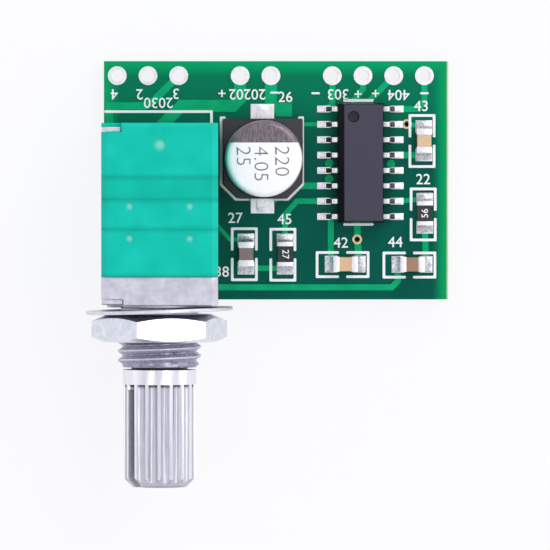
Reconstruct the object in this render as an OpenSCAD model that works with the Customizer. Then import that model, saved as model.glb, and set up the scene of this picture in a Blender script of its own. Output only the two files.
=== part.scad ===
// Stereo amplifier board with a switched double potentiometer as its volume control.
// Millimetres. X runs along the wire holes, Y from the shaft tip to the rear edge, Z up.
// The layout is measured from the board's front left corner, on its top face.

/* [Board] */
// Width of the board, left to right
board_w = 28.5; // [28:0.1:36]
// Depth of the board, front to rear
board_l = 19.7; // [19.4:0.1:26]
// Thickness of the laminate
board_t = 1.6; // [1:0.1:2.4]
// Width of the bevel that the score line leaves along the right edge
score_w = 0.15; // [0.05:0.01:0.4]
// Depth of that score line, from the top and from the bottom
score_depth = 0.5; // [0.2:0.05:0.7]
// Thickness of the copper foil
copper_t = 0.05; // [0.03:0.005:0.1]
// Width of the rim without copper around the underside
plane_margin = 0.8; // [0.3:0.1:1.5]

/* [Wire holes] */
// Distance between neighbouring holes of the row
hole_pitch = 2.54; // [2.4:0.01:2.6]
// Diameter of the open hole
hole_d = 1; // [0.7:0.05:1.2]
// Diameter of the tinned ring around it
ring_d = 1.55; // [1.4:0.05:2]
// Thickness of the plating in the hole
plating_t = 0.05; // [0.03:0.01:0.08]
// First hole's distance from the left edge
hole_from_left = 1.1; // [0.9:0.1:2]
// Row's distance from the rear edge
hole_from_rear = 1.2; // [0.9:0.1:2]

/* [Vias] */
// Diameter of a bare via's ring
via_ring_d = 0.8; // [0.6:0.05:1]
// Diameter of a via's hole
via_d = 0.32; // [0.2:0.02:0.5]

/* [Amplifier chip] */
// Length of the moulded body, along Y
chip_l = 9.9; // [9.6:0.1:11]
// Width of the moulded body, along X
chip_w = 3.9; // [3.6:0.1:4.2]
// Height of the body's top over the board
chip_h = 1.7; // [1.4:0.05:2.2]
// Distance of the body's underside from the board
chip_standoff = 0.2; // [0.12:0.02:0.4]
// Distance between neighbouring leads
lead_pitch = 1.27; // [1.2:0.01:1.3]
// Width of a lead
lead_w = 0.42; // [0.3:0.02:0.55]
// Thickness of a lead
lead_t = 0.2; // [0.12:0.02:0.26]
// Distance from toe to toe across the chip
lead_span = 6; // [5.8:0.1:6.6]
// Distance from outer edge to outer edge of the pads
chip_pad_span = 7.16; // [6.8:0.1:7.6]
// Width of a pad
chip_pad_w = 0.56; // [0.5:0.02:0.7]
// Diameter of the dimple at the first lead
dimple_d = 0.88; // [0.5:0.05:1.2]
// Width of the bevel along the first row's edge
chip_bevel = 0.45; // [0.2:0.05:0.6]

/* [Supply capacitor] */
// Diameter of the aluminium can
can_d = 6.3; // [5:0.1:6.4]
// Height of the can's top over the board
can_h = 7.7; // [5.4:0.1:10]
// Side of the square base
base_w = 6.6; // [6.5:0.1:6.9]
// Height of the base's corners over the board
base_h = 1.5; // [1.2:0.1:2]
// Cut at the two front corners of the base
base_cut = 1.3; // [0.6:0.1:1.6]
// Width of a pad under the capacitor
can_pad_w = 1.95; // [1.4:0.05:2.4]
// Distance from outer edge to outer edge of those pads
can_pad_span = 9.06; // [8.6:0.1:9.4]
// Width of a flat terminal
can_lead_w = 0.9; // [0.6:0.1:1.3]
// Thickness of a flat terminal
can_lead_t = 0.15; // [0.1:0.01:0.25]

/* [Chip parts] */
// Length of a chip part
smd_l = 2; // [1.8:0.05:2.2]
// Width of a chip part
smd_w = 1.25; // [1.1:0.05:1.4]
// Height of a ceramic capacitor
ceramic_h = 0.85; // [0.6:0.05:1.3]
// Height of a resistor
resistor_h = 0.5; // [0.4:0.05:0.7]
// Length of the plated end of a ceramic capacitor
ceramic_end = 0.5; // [0.3:0.05:0.7]
// Length of the plated end of a resistor
resistor_end = 0.35; // [0.2:0.05:0.5]
// Thickness of the plating on an end
end_t = 0.04; // [0.03:0.01:0.08]
// Distance from outer edge to outer edge of a part's pads
smd_pad_span = 3.4; // [3.2:0.1:3.6]
// Width of those pads
smd_pad_w = 1.4; // [1.25:0.05:1.5]

/* [Potentiometer] */
// Distance of the shaft's axis from the left edge
axis_x = 4.55; // [4.4:0.05:4.8]
// Height of the shaft's axis over the board
axis_h = 6.5; // [6.3:0.1:8]
// Distance of the mounting face in front of the board's front edge
face_front = 0.3; // [0.1:0.1:2]
// Width of the housings
pot_w = 9.5; // [9.4:0.1:9.8]
// Height of the housings' top over the axis
pot_top = 4.75; // [4.7:0.05:5.5]
// Gap between the housings' underside and the board
pot_gap = 0.3; // [0.15:0.05:0.6]
// Cut along the housings' top edges
pot_chamfer = 0.5; // [0.2:0.05:0.8]
// Thickness of the front casting's block
casting_t = 2.35; // [2:0.05:3]
// Length of the front housing
front_t = 3.85; // [3.8:0.05:5]
// Length of the centre housing
centre_t = 2.4; // [2.3:0.05:3]
// Length of the rear housing
rear_t = 1.85; // [1.6:0.05:2.4]
// Length of the switch housing
switch_t = 4.4; // [4.2:0.05:6]
// Radius of the round chambers
chamber_r = 4; // [3.95:0.05:4.1]
// Thickness of an element or of the switch's plate
element_t = 0.8; // [0.6:0.05:0.9]
// Thickness of the steel straps
strap_t = 0.4; // [0.3:0.05:0.5]
// Width of the steel straps
strap_w = 2.4; // [1.8:0.1:2.6]
// Lower edge of the left strap over the axis
strap_rise = 1.5; // [1.3:0.1:2]
// Distance between neighbouring terminals of a row
pin_pitch = 2.5; // [2.2:0.1:2.8]
// Width of a terminal
pin_w = 0.8; // [0.5:0.05:0.9]
// Thickness of a terminal
pin_t = 0.3; // [0.2:0.05:0.4]
// How far the terminals stand out under the board
pin_tip = 0.6; // [0.5:0.05:1.5]
// Diameter of the board's holes for the terminals
pin_hole_d = 1; // [1:0.05:1.3]

/* [Bush and shaft] */
// Outer diameter of the bush's thread
thread_d = 6.8; // [6.6:0.1:8]
// Pitch of that thread
thread_pitch = 0.75; // [0.5:0.05:1]
// Length of the bush in front of the mounting face
bush_l = 5.1; // [4.8:0.1:8]
// Diameter of the shaft where it runs in the bush
journal_d = 4.6; // [4.4:0.1:5]
// Clearance around the shaft in the bush
journal_clear = 0.05; // [0.02:0.01:0.09]
// Outer diameter of the shaft in front of the bush
shaft_d = 6; // [5.6:0.1:6.6]
// Distance of the shaft's tip from the mounting face
shaft_l = 14.9; // [13:0.1:25]
// Length of the plain collar behind the teeth
collar_l = 1.2; // [0.8:0.1:3]
// Number of teeth
tooth_count = 18; // [12:1:24]
// Depth of the grooves between the teeth
tooth_depth = 0.38; // [0.15:0.01:0.45]
// Width of a tooth's top
tooth_top = 0.22; // [0.15:0.01:0.5]
// Turn of the teeth from the vertical
tooth_turn = 1; // [0:1:20]
// Width of the slot that splits the tip
split_w = 0.8; // [0.5:0.1:1.4]
// Length of that slot
split_l = 8; // [3:0.5:8]
// Turn of the slot from the vertical
split_turn = 51; // [0:1:180]
// Cut around the shaft's tip
tip_chamfer = 0.8; // [0.2:0.1:1]
// Diameter of the stem that drives the rotors
stem_d = 3.9; // [3.4:0.1:4]
// Distance across the stem's two flats
stem_flats = 3; // [2.4:0.1:3.2]
// Angle that the shaft turns to each side
turn_limit = 150; // [120:5:155]

/* [Washer and nut] */
// Diameter of the washer
washer_d = 12; // [10:0.5:12.4]
// Thickness of the washer
washer_t = 0.3; // [0.3:0.05:0.6]
// Lean of the loose washer between the boss and the nut
washer_lean = 1.8; // [0:0.1:2]
// Height of the boss that the washer sits on
boss_t = 0.2; // [0.1:0.05:0.5]
// Distance across the nut's flats
nut_af = 9.8; // [9.4:0.1:11]
// Thickness of the nut
nut_t = 2.25; // [1.8:0.05:3]
// Turn of the nut about the axis
nut_turn = 49; // [0:1:59]

/* [Hidden] */
$fn = 64;
// Clearance between pieces that slide or drop into each other
fit = 0.05;
// Clearance of a wiper's tip over what it wipes
wipe_gap = 0.03;
// Length by which a cut runs past the face it opens
past = 1;

face_y = -face_front;
d_front = casting_t;
d_centre = d_front + front_t;
d_rear = d_centre + centre_t;
d_switch = d_rear + rear_t;
d_end = d_switch + switch_t;
pot_bottom = axis_h - pot_gap;
half_w = pot_w / 2;
bore_r = journal_d / 2 + journal_clear;
// Under the nut the two threads meet at the pitch radius
pitch_r = thread_d / 2 - 0.325 * thread_pitch;

row_y = board_l - hole_from_rear;
hole_steps = [0, 1, 2, 4, 5, 7, 8, 9, 10];
hole_points = [for (k = hole_steps) [hole_from_left + k * hole_pitch, row_y]];
barrel_r = hole_d / 2 + plating_t;

// The chip and the supply capacitor keep their distance from the row of wire holes
chip_from_row = [21.2, -7.2];
chip_at = [0, row_y] + chip_from_row;
lead_count = 8;
lead_ys = [for (k = [0 : lead_count - 1]) (k - (lead_count - 1) / 2) * lead_pitch];
lead_seat = 0.85;
lead_root = 0.3;
pad_reach = 1.13;
dimple_x = -0.6;
dimple_from_end = 1.15;
dimple_depth = 0.1;

can_from_row = [13.1, -6.86];
can_at = [0, row_y] + can_from_row;
can_seat = 0.8;
can_lead_reach = 0.75;
can_pad_inner = 1.3;

// The input parts follow the supply capacitor, the filter capacitor follows the chip, and the others keep
// their places from the front left corner
input_cap_from_can = [-1.36, -7.88];
input_res_from_can = [1.88, -7.89];
filter_cap_from_chip = [5.26, 1.82];
bypass_cap_place = [19.95, 2.92];
gain_res_place = [26.54, 7.12];
output_cap_place = [25.48, 2.9];
// Each chip part: place of its centre and its turn from lying along X
along_x = 0;
along_y = 90;
input_cap_at = [can_at + input_cap_from_can, along_y];
input_res_at = [can_at + input_res_from_can, along_y];
bypass_cap_at = [bypass_cap_place, along_x];
filter_cap_at = [chip_at + filter_cap_from_chip, along_y];
gain_res_at = [gain_res_place, along_y];
output_cap_at = [output_cap_place, along_x];
smd_places = [input_cap_at, input_res_at, bypass_cap_at, filter_cap_at, gain_res_at, output_cap_at];
smd_pad_l = 1.05;

via_from_bypass_cap = [0.99, 2.05];
via_from_chip = [3.85, 3.2];
via_points = [bypass_cap_place + via_from_bypass_cap, chip_at + via_from_chip];
tented_vias_from_chip = [[-2.57, -0.05], [-2.57, -1.33], [2.52, -0.09]];
tented_via_points = [for (p = tented_vias_from_chip) chip_at + p];
tented_via_r = 0.35;

// Widths of the copper tracks
power_w = 1;
edge_w = 0.6;
wide_w = 0.55;
signal_w = 0.5;
input_w = 0.45;
fine_w = 0.4;
thin_w = 0.33;
// Gap that the underside's copper keeps around a hole's ring
plane_gap = 0.35;

// Places of the potentiometer's inner pieces, measured back from the mounting face
ring_t = 0.4;
ring_r = 3.2;
groove_r = stem_d / 2 - 0.1;
rotor_r = chamber_r - 0.3;
wiper_t = 0.15;
brush_h = 0.35;
wall_t = 0.5;
d_ring = d_front + fit;
d_stem = d_ring + ring_t;
front_element_d = d_centre - wall_t - element_t;
front_wiper_d = front_element_d - wipe_gap - brush_h - wiper_t;
front_rotor_d = d_stem + 0.15;
rear_element_d = d_rear - element_t;
rear_wiper_d = rear_element_d - wipe_gap - brush_h - wiper_t;
rear_rotor_d = d_centre + 0.15;
switch_plate_d = d_switch - element_t;
switch_brush_d = d_switch + wipe_gap;
switch_wiper_d = switch_brush_d + brush_h;
switch_rotor_d = switch_wiper_d + wiper_t;
switch_rotor_t = 1.5;
rear_wall_t = 1.25;
switch_chamber_end = d_end - rear_wall_t;
stem_end = switch_rotor_d + switch_rotor_t + 0.4;
element_r = chamber_r + 0.1;
element_hole_r = stem_d / 2 + 0.3;
tab_w = 2 * pin_pitch + pin_w + 1;
tab_lift = 0.4;
row_xs = [-pin_pitch, 0, pin_pitch];
switch_xs = [-pin_pitch, pin_pitch];
pin_rows = [[front_element_d, row_xs], [rear_element_d, row_xs], [switch_plate_d, switch_xs]];
pin_points = [for (r = pin_rows) for (x = r[1]) [axis_x + x, face_y + r[0] + element_t / 2]];
pin_top = 1.3;
solder_r = 0.85;
solder_h = 0.4;
strap_fold = 1.75;
strap_tail = 1.6;
notch_front = strap_t + 0.1;
notch_rear = strap_t + 0.35;
boss_r = 4.3;
nut_seat_r = 0.86 * nut_af / 2;
nut_seat_cut = 0.6;
nut_face_r = 0.958 * nut_af / 2;
nut_face_cut = 0.77;
// The washer leans from the boss's edge to the edge of the nut's seat
washer_half = washer_t / 2 / cos(washer_lean);
washer_d_mid = boss_t + washer_half + boss_r * tan(washer_lean);
nut_d = washer_d_mid + washer_half + nut_seat_r * tan(washer_lean);
nut_front = nut_d + nut_t;
bush_cut = 0.4;
// The collar runs clear of the bush and lies a little under the tops of the teeth
collar_gap = 0.2;
collar_drop = 0.03;
stop_half = 14;
stop_r = rotor_r - 0.5;
stop_clear = 0.4;
foot_w = 0.9;
foot_inset = 1.6;
front_foot_from = 0.4;
rear_foot_from_end = 1.6;
pin_mark_x = 2.45;
// Distance of the marks from the front of their housing
front_mark_from = 3.1;
centre_mark_from = 1.85;
pin_mark_d = 0.7;
pin_mark_depth = 0.08;
rear_mark_d = 1.1;
rear_mark_from_end = 1.8;
casting_drop = 0.25;
casting_lift = 0.2;
casting_chamfer = 0.4;

// The frame's origin lies under the middle of the whole part's box
washer_reach = washer_d / 2 * cos(washer_lean) + washer_t / 2 * sin(washer_lean);
x_low = min(axis_x - washer_reach, axis_x - half_w, 0);
y_low = face_y - shaft_l;
z_low = -board_t - pin_tip;
to_origin = [-(x_low + board_w) / 2, -(y_low + board_l) / 2, -z_low];

// Places that repeat

// Potentiometer's own frame: its axis along +Z, counted back from the mounting face, with Y up
module on_axis() {
    translate([axis_x, face_y, axis_h]) rotate([-90, 0, 0]) mirror([0, 1, 0]) children();
}

// A second copy half a turn about the axis
module opposite() {
    rotate(180) children();
}

module at_points(points) {
    for (p = points) translate(p) children();
}

module on_chip_part(place) {
    translate(place[0]) rotate(place[1]) children();
}

// Outline of a track of even width along a route, with mitred corners
function unit(v) = v / norm(v);
function turned(v) = [-v[1], v[0]];
function run(route, i) = unit(route[i + 1] - route[i]);
function normal_at(route, i) =
    i == 0 ? turned(run(route, 0))
    : i == len(route) - 1 ? turned(run(route, i - 1))
    : let (n = unit(turned(run(route, i - 1)) + turned(run(route, i))))
        n / (n * turned(run(route, i)));
function track_outline(route, w) = concat(
    [for (i = [0 : len(route) - 1]) route[i] + normal_at(route, i) * w / 2],
    [for (i = [len(route) - 1 : -1 : 0]) route[i] - normal_at(route, i) * w / 2]
);
module track(route, w) {
    polygon(track_outline(route, w));
}

// Board

module circuit_board() {
    color("#0a6b4e")
        difference() {
            translate([0, board_l, 0]) rotate([90, 0, 0]) linear_extrude(board_l)
                polygon([
                    [0, 0], [board_w - score_w, 0], [board_w, -score_depth],
                    [board_w, score_depth - board_t], [board_w - score_w, -board_t], [0, -board_t]
                ]);
            translate([0, 0, -board_t - past]) {
                at_points(hole_points) cylinder(r = barrel_r, h = board_t + 2 * past);
                at_points(via_points) cylinder(r = via_d / 2 + plating_t, h = board_t + 2 * past);
                at_points(pin_points) cylinder(d = pin_hole_d, h = board_t + 2 * past);
            }
        }
}

// Lead k of the chip's left (-1) or right (1) row, at its pad's outer edge
function chip_pad(side, k) = chip_at + [side * (chip_pad_span / 2 - pad_reach / 2), lead_ys[k]];
function pad_of(place, end) =
    let (reach = end * (smd_pad_span - smd_pad_l) / 2)
    place[0] + reach * [cos(place[1]), sin(place[1])];
function can_pad(end) = can_at + [0, end * (can_pad_span / 2 - can_lead_reach)];

module top_tracks() {
    plus_hole = hole_points[3];
    minus_hole = hole_points[4];
    supply_y = row_y - 2.5;
    pot_rear = face_y + d_end;
    pot_side = axis_x + half_w - 0.5;
    left_edge = 0.45;
    can_side = can_at[0] + 2.4;
    // supply from the wire holes to the switch and to the capacitor
    track([plus_hole, [plus_hole[0], supply_y + 0.6], [plus_hole[0] - 0.6, supply_y],
        [axis_x + 1.85, supply_y], [axis_x + 0.15, pot_rear - 0.25]], power_w);
    track([minus_hole, [minus_hole[0], can_pad(1)[1]]], power_w);
    translate([can_at[0] + 1.1, can_pad(1)[1] - 0.3]) square([1.35, 1.15]);
    // left input along the left edge to the first gang
    track([hole_points[2], [hole_points[2][0] - 2.3, supply_y + 0.2], [hole_points[2][0] - 2.8, supply_y],
        [left_edge, supply_y], [left_edge, pot_rear - 1]], edge_w);
    // loudspeaker outputs from the wire holes to the chip
    left_minus = hole_points[5];
    left_plus = hole_points[6];
    right_minus = hole_points[8];
    track([left_minus, [left_minus[0], chip_pad(-1, 7)[1] + 0.3], chip_pad(-1, 7)], signal_w);
    track([left_plus, [left_plus[0], row_y - 1.1], chip_at + [-0.7, chip_l / 2]], signal_w);
    track([hole_points[7], chip_at + [0.8, chip_l / 2 + 0.2]], signal_w);
    track([right_minus, [right_minus[0], row_y - 2.1], [right_minus[0] - 0.5, chip_pad(1, 7)[1]],
        chip_pad(1, 7)], signal_w);
    // chip's left row to the capacitor and the input parts
    first_pad = chip_pad(-1, 0);
    bend_y = via_points[0][1] + 0.03;
    track([chip_pad(-1, 6), [can_side, chip_pad(-1, 6)[1]]], thin_w);
    track([chip_pad(-1, 2), [can_side, chip_pad(-1, 2)[1]]], wide_w);
    track([chip_pad(-1, 1), [can_at[0] + 2.86, chip_pad(-1, 1)[1]],
        [input_res_at[0][0], chip_pad(-1, 1)[1] - 1.1], pad_of(input_res_at, 1)], input_w);
    track([first_pad, first_pad + [0.57, 0], [first_pad[0] + 0.57, bend_y],
        pad_of(bypass_cap_at, -1)], signal_w);
    track([chip_at + [-0.25, 0.55 - chip_l / 2], [chip_at[0] - 0.25, bend_y],
        pad_of(bypass_cap_at, 1)], wide_w);
    // chip's right row to the filter capacitor and the gain resistor
    track([chip_pad(1, 6), via_points[1], pad_of(filter_cap_at, 1)], fine_w);
    track([chip_pad(1, 4), pad_of(filter_cap_at, -1)], wide_w);
    track([chip_pad(1, 1), pad_of(gain_res_at, 1)], fine_w);
    track([pad_of(gain_res_at, -1), pad_of(output_cap_at, 1)], signal_w);
    // front edge: output capacitor to the second gang, and the two input parts
    output_pad = pad_of(output_cap_at, -1);
    input_pad = pad_of(input_cap_at, 1);
    track([output_pad, output_pad - [0, 1.4], output_pad - [0.5, 1.9],
        [pot_side, output_pad[1] - 1.9]], signal_w);
    track([pad_of(input_cap_at, -1), pad_of(input_res_at, -1)], input_w);
    track([input_pad, input_pad - [1.3, 0], [pot_side, input_pad[1] + 1.8]], thin_w);
    // copper at the capacitor's front pad
    polygon([for (p = [[-1.6, 0.75], [1.8, 0.75], [1.1, 0.1], [-0.9, 0.1]]) can_pad(-1) + p]);
    at_points(tented_via_points) circle(tented_via_r);
}

module chip_pad_outlines() {
    for (side = [-1, 1]) for (k = [0 : lead_count - 1])
        translate(chip_pad(side, k)) square([pad_reach, chip_pad_w], center = true);
}

module can_pad_outlines() {
    for (end = [-1, 1])
        translate(can_at + [0, end * (can_pad_span / 2 + can_pad_inner) / 2])
            square([can_pad_w, can_pad_span / 2 - can_pad_inner], center = true);
}

module smd_pad_outlines() {
    for (place = smd_places) for (end = [-1, 1])
        translate(pad_of(place, end)) rotate(place[1]) square([smd_pad_l, smd_pad_w], center = true);
}

module copper_tracks() {
    color("#12a872")
        linear_extrude(copper_t)
            difference() {
                top_tracks();
                chip_pad_outlines();
                can_pad_outlines();
                smd_pad_outlines();
                at_points(hole_points) circle(d = ring_d);
                at_points(via_points) circle(d = via_ring_d);
            }
}

module ground_plane() {
    color("#0a5a44")
        translate([0, 0, -board_t - copper_t]) linear_extrude(copper_t)
            difference() {
                translate([plane_margin, plane_margin])
                    square([board_w - 2 * plane_margin, board_l - 2 * plane_margin]);
                at_points(hole_points) circle(ring_d / 2 + plane_gap);
                at_points(via_points) circle(via_ring_d / 2 + plane_gap);
                at_points(pin_points) circle(solder_r + plane_gap);
            }
}

// Plated hole: a tube through the board with a flat ring at each end
module eyelet(inner_d, outer_d) {
    wall = inner_d / 2 + plating_t;
    rotate_extrude()
        polygon([
            [inner_d / 2, copper_t], [outer_d / 2, copper_t], [outer_d / 2, 0], [wall, 0],
            [wall, -board_t], [outer_d / 2, -board_t], [outer_d / 2, -board_t - copper_t],
            [inner_d / 2, -board_t - copper_t]
        ]);
}

module board_eyelets() {
    color("#e6e8ea") at_points(hole_points) eyelet(hole_d, ring_d);
}

module via_rings() {
    color("#cdb98f") at_points(via_points) eyelet(via_d, via_ring_d);
}

// Solder that fills a terminal's hole and rises around its tip
module terminal_solder() {
    color("#c9cdd2")
        difference() {
            at_points(pin_points)
                rotate_extrude()
                    polygon([
                        [0, 0], [pin_hole_d / 2, 0], [pin_hole_d / 2, -board_t], [solder_r, -board_t],
                        [solder_r * 0.8, -board_t - solder_h * 0.35], [pin_w * 0.65, -board_t - solder_h],
                        [0, -board_t - solder_h]
                    ]);
            at_points(pin_points) translate([0, 0, -board_t - pin_tip]) pin(board_t + pin_tip + past);
        }
}

// Flat terminal standing on its tip
module pin(h) {
    translate([-pin_w / 2, -pin_t / 2, 0]) cube([pin_w, pin_t, h]);
}

// Amplifier chip

module chip_lead_roots() {
    for (side = [-1, 1]) for (y = lead_ys)
        translate(concat(chip_at, lead_seat) + [side * (chip_w / 2 - lead_root / 2), y, 0])
            cube([lead_root, lead_w, lead_t], center = true);
}

module chip_body() {
    draft = 0.13;
    half = chip_w / 2;
    half_l = chip_l / 2;
    color("#4a4653")
        difference() {
            translate(chip_at) intersection() {
                translate([0, half_l, 0]) rotate([90, 0, 0]) linear_extrude(chip_l)
                    polygon([
                        [draft - half, chip_standoff], [half - draft, chip_standoff], [half, lead_seat],
                        [half - draft, chip_h], [draft + chip_bevel - half, chip_h],
                        [draft / 2 - half, chip_h - chip_bevel], [-half, lead_seat]
                    ]);
                translate([-half, 0, 0]) rotate([90, 0, 90]) linear_extrude(chip_w)
                    polygon([
                        [draft - half_l, chip_standoff], [half_l - draft, chip_standoff], [half_l, lead_seat],
                        [half_l - draft, chip_h], [draft - half_l, chip_h], [-half_l, lead_seat]
                    ]);
            }
            chip_lead_roots();
            translate(concat(chip_at + [dimple_x, half_l - dimple_from_end], chip_h - dimple_depth))
                cylinder(d = dimple_d, h = past);
        }
}

// Gull wing: out of the body, down over a knee and flat along its pad
module chip_leads() {
    toe = lead_span / 2;
    shoulder = chip_w / 2 + 0.42;
    heel = toe - 0.45;
    top = lead_seat + lead_t / 2;
    color("#d9dcdf")
        translate(chip_at) for (side = [-1, 1]) for (y = lead_ys)
            translate([0, y + lead_w / 2, 0]) rotate([90, 0, 0]) linear_extrude(lead_w)
                polygon([for (p = [
                    [chip_w / 2 - lead_root, top], [shoulder, top], [shoulder + 0.16, top - 0.12],
                    [heel + 0.22, copper_t + lead_t + 0.06], [heel + 0.3, copper_t + lead_t],
                    [toe, copper_t + lead_t], [toe, copper_t], [heel + 0.1, copper_t],
                    [heel, copper_t + 0.14], [shoulder - 0.04, top - lead_t],
                    [chip_w / 2 - lead_root, top - lead_t]
                ]) [side * p[0], p[1]]]);
}

// Tinned pads, with a fillet of solder in front of each toe
module chip_solder() {
    toe = lead_span / 2;
    edge = chip_pad_span / 2;
    color("#cfd3d7") {
        linear_extrude(copper_t) chip_pad_outlines();
        translate(concat(chip_at, copper_t)) for (side = [-1, 1]) for (y = lead_ys)
            translate([0, y + lead_w / 2, 0]) rotate([90, 0, 0]) linear_extrude(lead_w)
                polygon([[side * toe, 0], [side * toe, lead_t * 0.7],
                    [side * (toe + 0.18), lead_t * 0.3], [side * (edge - 0.06), 0]]);
    }
}

// Supply capacitor

module capacitor_base() {
    half = base_w / 2;
    color("#2d2c31")
        translate(concat(can_at, copper_t + can_lead_t)) difference() {
            linear_extrude(base_h - copper_t - can_lead_t)
                polygon([
                    [-half, half], [half, half], [half, base_cut - half], [half - base_cut, -half],
                    [base_cut - half, -half], [-half, base_cut - half]
                ]);
            translate([0, 0, can_seat - copper_t - can_lead_t]) cylinder(d = can_d + fit, h = base_h);
        }
}

// Drawn can with a rolled neck over its rubber seal and a rounded top edge
module capacitor_can() {
    r = can_d / 2;
    neck = 0.3;
    neck_h = 0.5;
    top_r = 0.5;
    color("#dfe1e4")
        translate(can_at) rotate_extrude() {
            polygon([
                [0, can_seat], [r - 0.1, can_seat], [r, can_seat + 0.1], [r, base_h + 0.2],
                [r - neck, base_h + 0.2 + neck_h / 2], [r, base_h + 0.2 + neck_h],
                [r, can_h - top_r], [r - top_r, can_h - top_r], [r - top_r, can_h], [0, can_h]
            ]);
            intersection() {
                translate([r - top_r, can_h - top_r]) circle(top_r);
                translate([r - top_r, can_h - top_r]) square(top_r);
            }
        }
}

module capacitor_terminals() {
    inner = can_pad_inner - 0.3;
    color("#d5d8db")
        translate(concat(can_at, copper_t)) for (end = [-1, 1])
            at_end(end) translate([-can_lead_w / 2, inner, 0])
                cube([can_lead_w, base_w / 2 + can_lead_reach - inner, can_lead_t]);
}

// Turns a piece from the rear end (1) of the supply capacitor to its front end (-1)
module at_end(end) {
    rotate(end > 0 ? 0 : 180) children();
}

module capacitor_solder() {
    toe = base_w / 2 + can_lead_reach;
    color("#cfd3d7") {
        linear_extrude(copper_t) can_pad_outlines();
        translate(concat(can_at, copper_t)) for (end = [-1, 1])
            at_end(end) translate([-can_lead_w / 2, 0, 0]) rotate([90, 0, 90]) linear_extrude(can_lead_w)
                polygon([[toe, 0], [toe, can_lead_t * 0.9], [toe + 0.18, can_lead_t * 0.4],
                    [can_pad_span / 2 - 0.05, 0]]);
    }
}

// Chip parts

module smd_block(l, w, h) {
    translate([-l / 2, -w / 2, 0]) cube([l, w, h]);
}

module smd_core(h) {
    translate([0, 0, copper_t + end_t]) smd_block(smd_l - 2 * end_t, smd_w - 2 * end_t, h - 2 * end_t);
}

// Plated ends that wrap all faces of the core
module smd_ends(h, end_l) {
    difference() {
        for (end = [-1, 1])
            translate([end * (smd_l - end_l) / 2, 0, copper_t]) smd_block(end_l, smd_w, h);
        smd_core(h);
    }
}

module smd_coat(h) {
    translate([0, 0, copper_t + h - end_t])
        smd_block(smd_l - 2 * resistor_end, smd_w - 2 * end_t, end_t);
}

module ceramic(place) {
    on_chip_part(place) smd_core(ceramic_h);
}

module ceramic_ends(place) {
    color("#d4d6d8") on_chip_part(place) smd_ends(ceramic_h, ceramic_end);
}

module resistor_ends(place) {
    color("#d4d6d8") on_chip_part(place) smd_ends(resistor_h, resistor_end);
}

module input_capacitor() { color("#8c716d") ceramic(input_cap_at); }
module bypass_capacitor() { color("#e0b67c") ceramic(bypass_cap_at); }
module filter_capacitor() { color("#dcb68f") ceramic(filter_cap_at); }
module output_capacitor() { color("#a47a60") ceramic(output_cap_at); }
module input_capacitor_ends() { ceramic_ends(input_cap_at); }
module bypass_capacitor_ends() { ceramic_ends(bypass_cap_at); }
module filter_capacitor_ends() { ceramic_ends(filter_cap_at); }
module output_capacitor_ends() { ceramic_ends(output_cap_at); }
module input_resistor() { color("#eceae4") on_chip_part(input_res_at) smd_core(resistor_h); }
module gain_resistor() { color("#eceae4") on_chip_part(gain_res_at) smd_core(resistor_h); }
module input_resistor_coat() { color("#24262b") on_chip_part(input_res_at) smd_coat(resistor_h); }
module gain_resistor_coat() { color("#24262b") on_chip_part(gain_res_at) smd_coat(resistor_h); }
module input_resistor_ends() { resistor_ends(input_res_at); }
module gain_resistor_ends() { resistor_ends(gain_res_at); }

// Tinned pads, with a fillet of solder up each end face
module chip_part_solder() {
    foot = smd_l / 2;
    rise = resistor_h * 0.8;
    color("#cfd3d7") {
        linear_extrude(copper_t) smd_pad_outlines();
        for (place = smd_places) on_chip_part(place) for (end = [0, 180])
            rotate(end) translate([0, smd_w / 2, copper_t]) rotate([90, 0, 0]) linear_extrude(smd_w)
                polygon([[foot, 0], [foot, rise], [foot + 0.2, rise * 0.4],
                    [foot + 0.45, rise * 0.12], [smd_pad_span / 2 - 0.05, 0]]);
    }
}

// Potentiometer: in its own frame +Z runs back from the mounting face and +Y is up

// Outline of the housings, with their two top edges cut
module pot_outline(half, top, bottom, cut) {
    polygon([
        [-half, -bottom], [half, -bottom], [half, top - cut],
        [half - cut, top], [cut - half, top], [-half, top - cut]
    ]);
}

// Channel that a strap lies in, on the left side
module strap_channel() {
    translate([-half_w - past, strap_rise - fit, -past])
        cube([strap_t + fit + past, strap_w + 2 * fit, d_end + 2 * past]);
}

module both_channels() {
    strap_channel();
    opposite() strap_channel();
}

// Slab of the housings from one depth to another, with the straps' channels
module housing_slab(from, to) {
    difference() {
        translate([0, 0, from]) linear_extrude(to - from) pot_outline(half_w, pot_top, pot_bottom, pot_chamfer);
        both_channels();
    }
}

module chamber(from, to, r) {
    translate([0, 0, from]) cylinder(r = r, h = to - from);
}

// Seat of an element: a round pocket with a slot down to the underside for its tab
module element_seat(from, to) {
    chamber(from, to, element_r + fit);
    translate([-tab_w / 2 - fit, -pot_bottom - past, from])
        cube([tab_w + 2 * fit, pot_bottom + past, to - from]);
}

// Feet that keep the underside off the board
module feet(from) {
    for (x = [-1, 1])
        translate([x * (half_w - foot_inset) - foot_w / 2, -axis_h, from]) cube([foot_w, pot_gap, foot_w]);
}

// Round dents that the mould's pins leave on top
module pin_marks(d) {
    for (x = [-pin_mark_x, pin_mark_x])
        translate([x, pot_top - pin_mark_depth, d]) rotate([-90, 0, 0]) cylinder(d = pin_mark_d, h = past);
}

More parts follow.
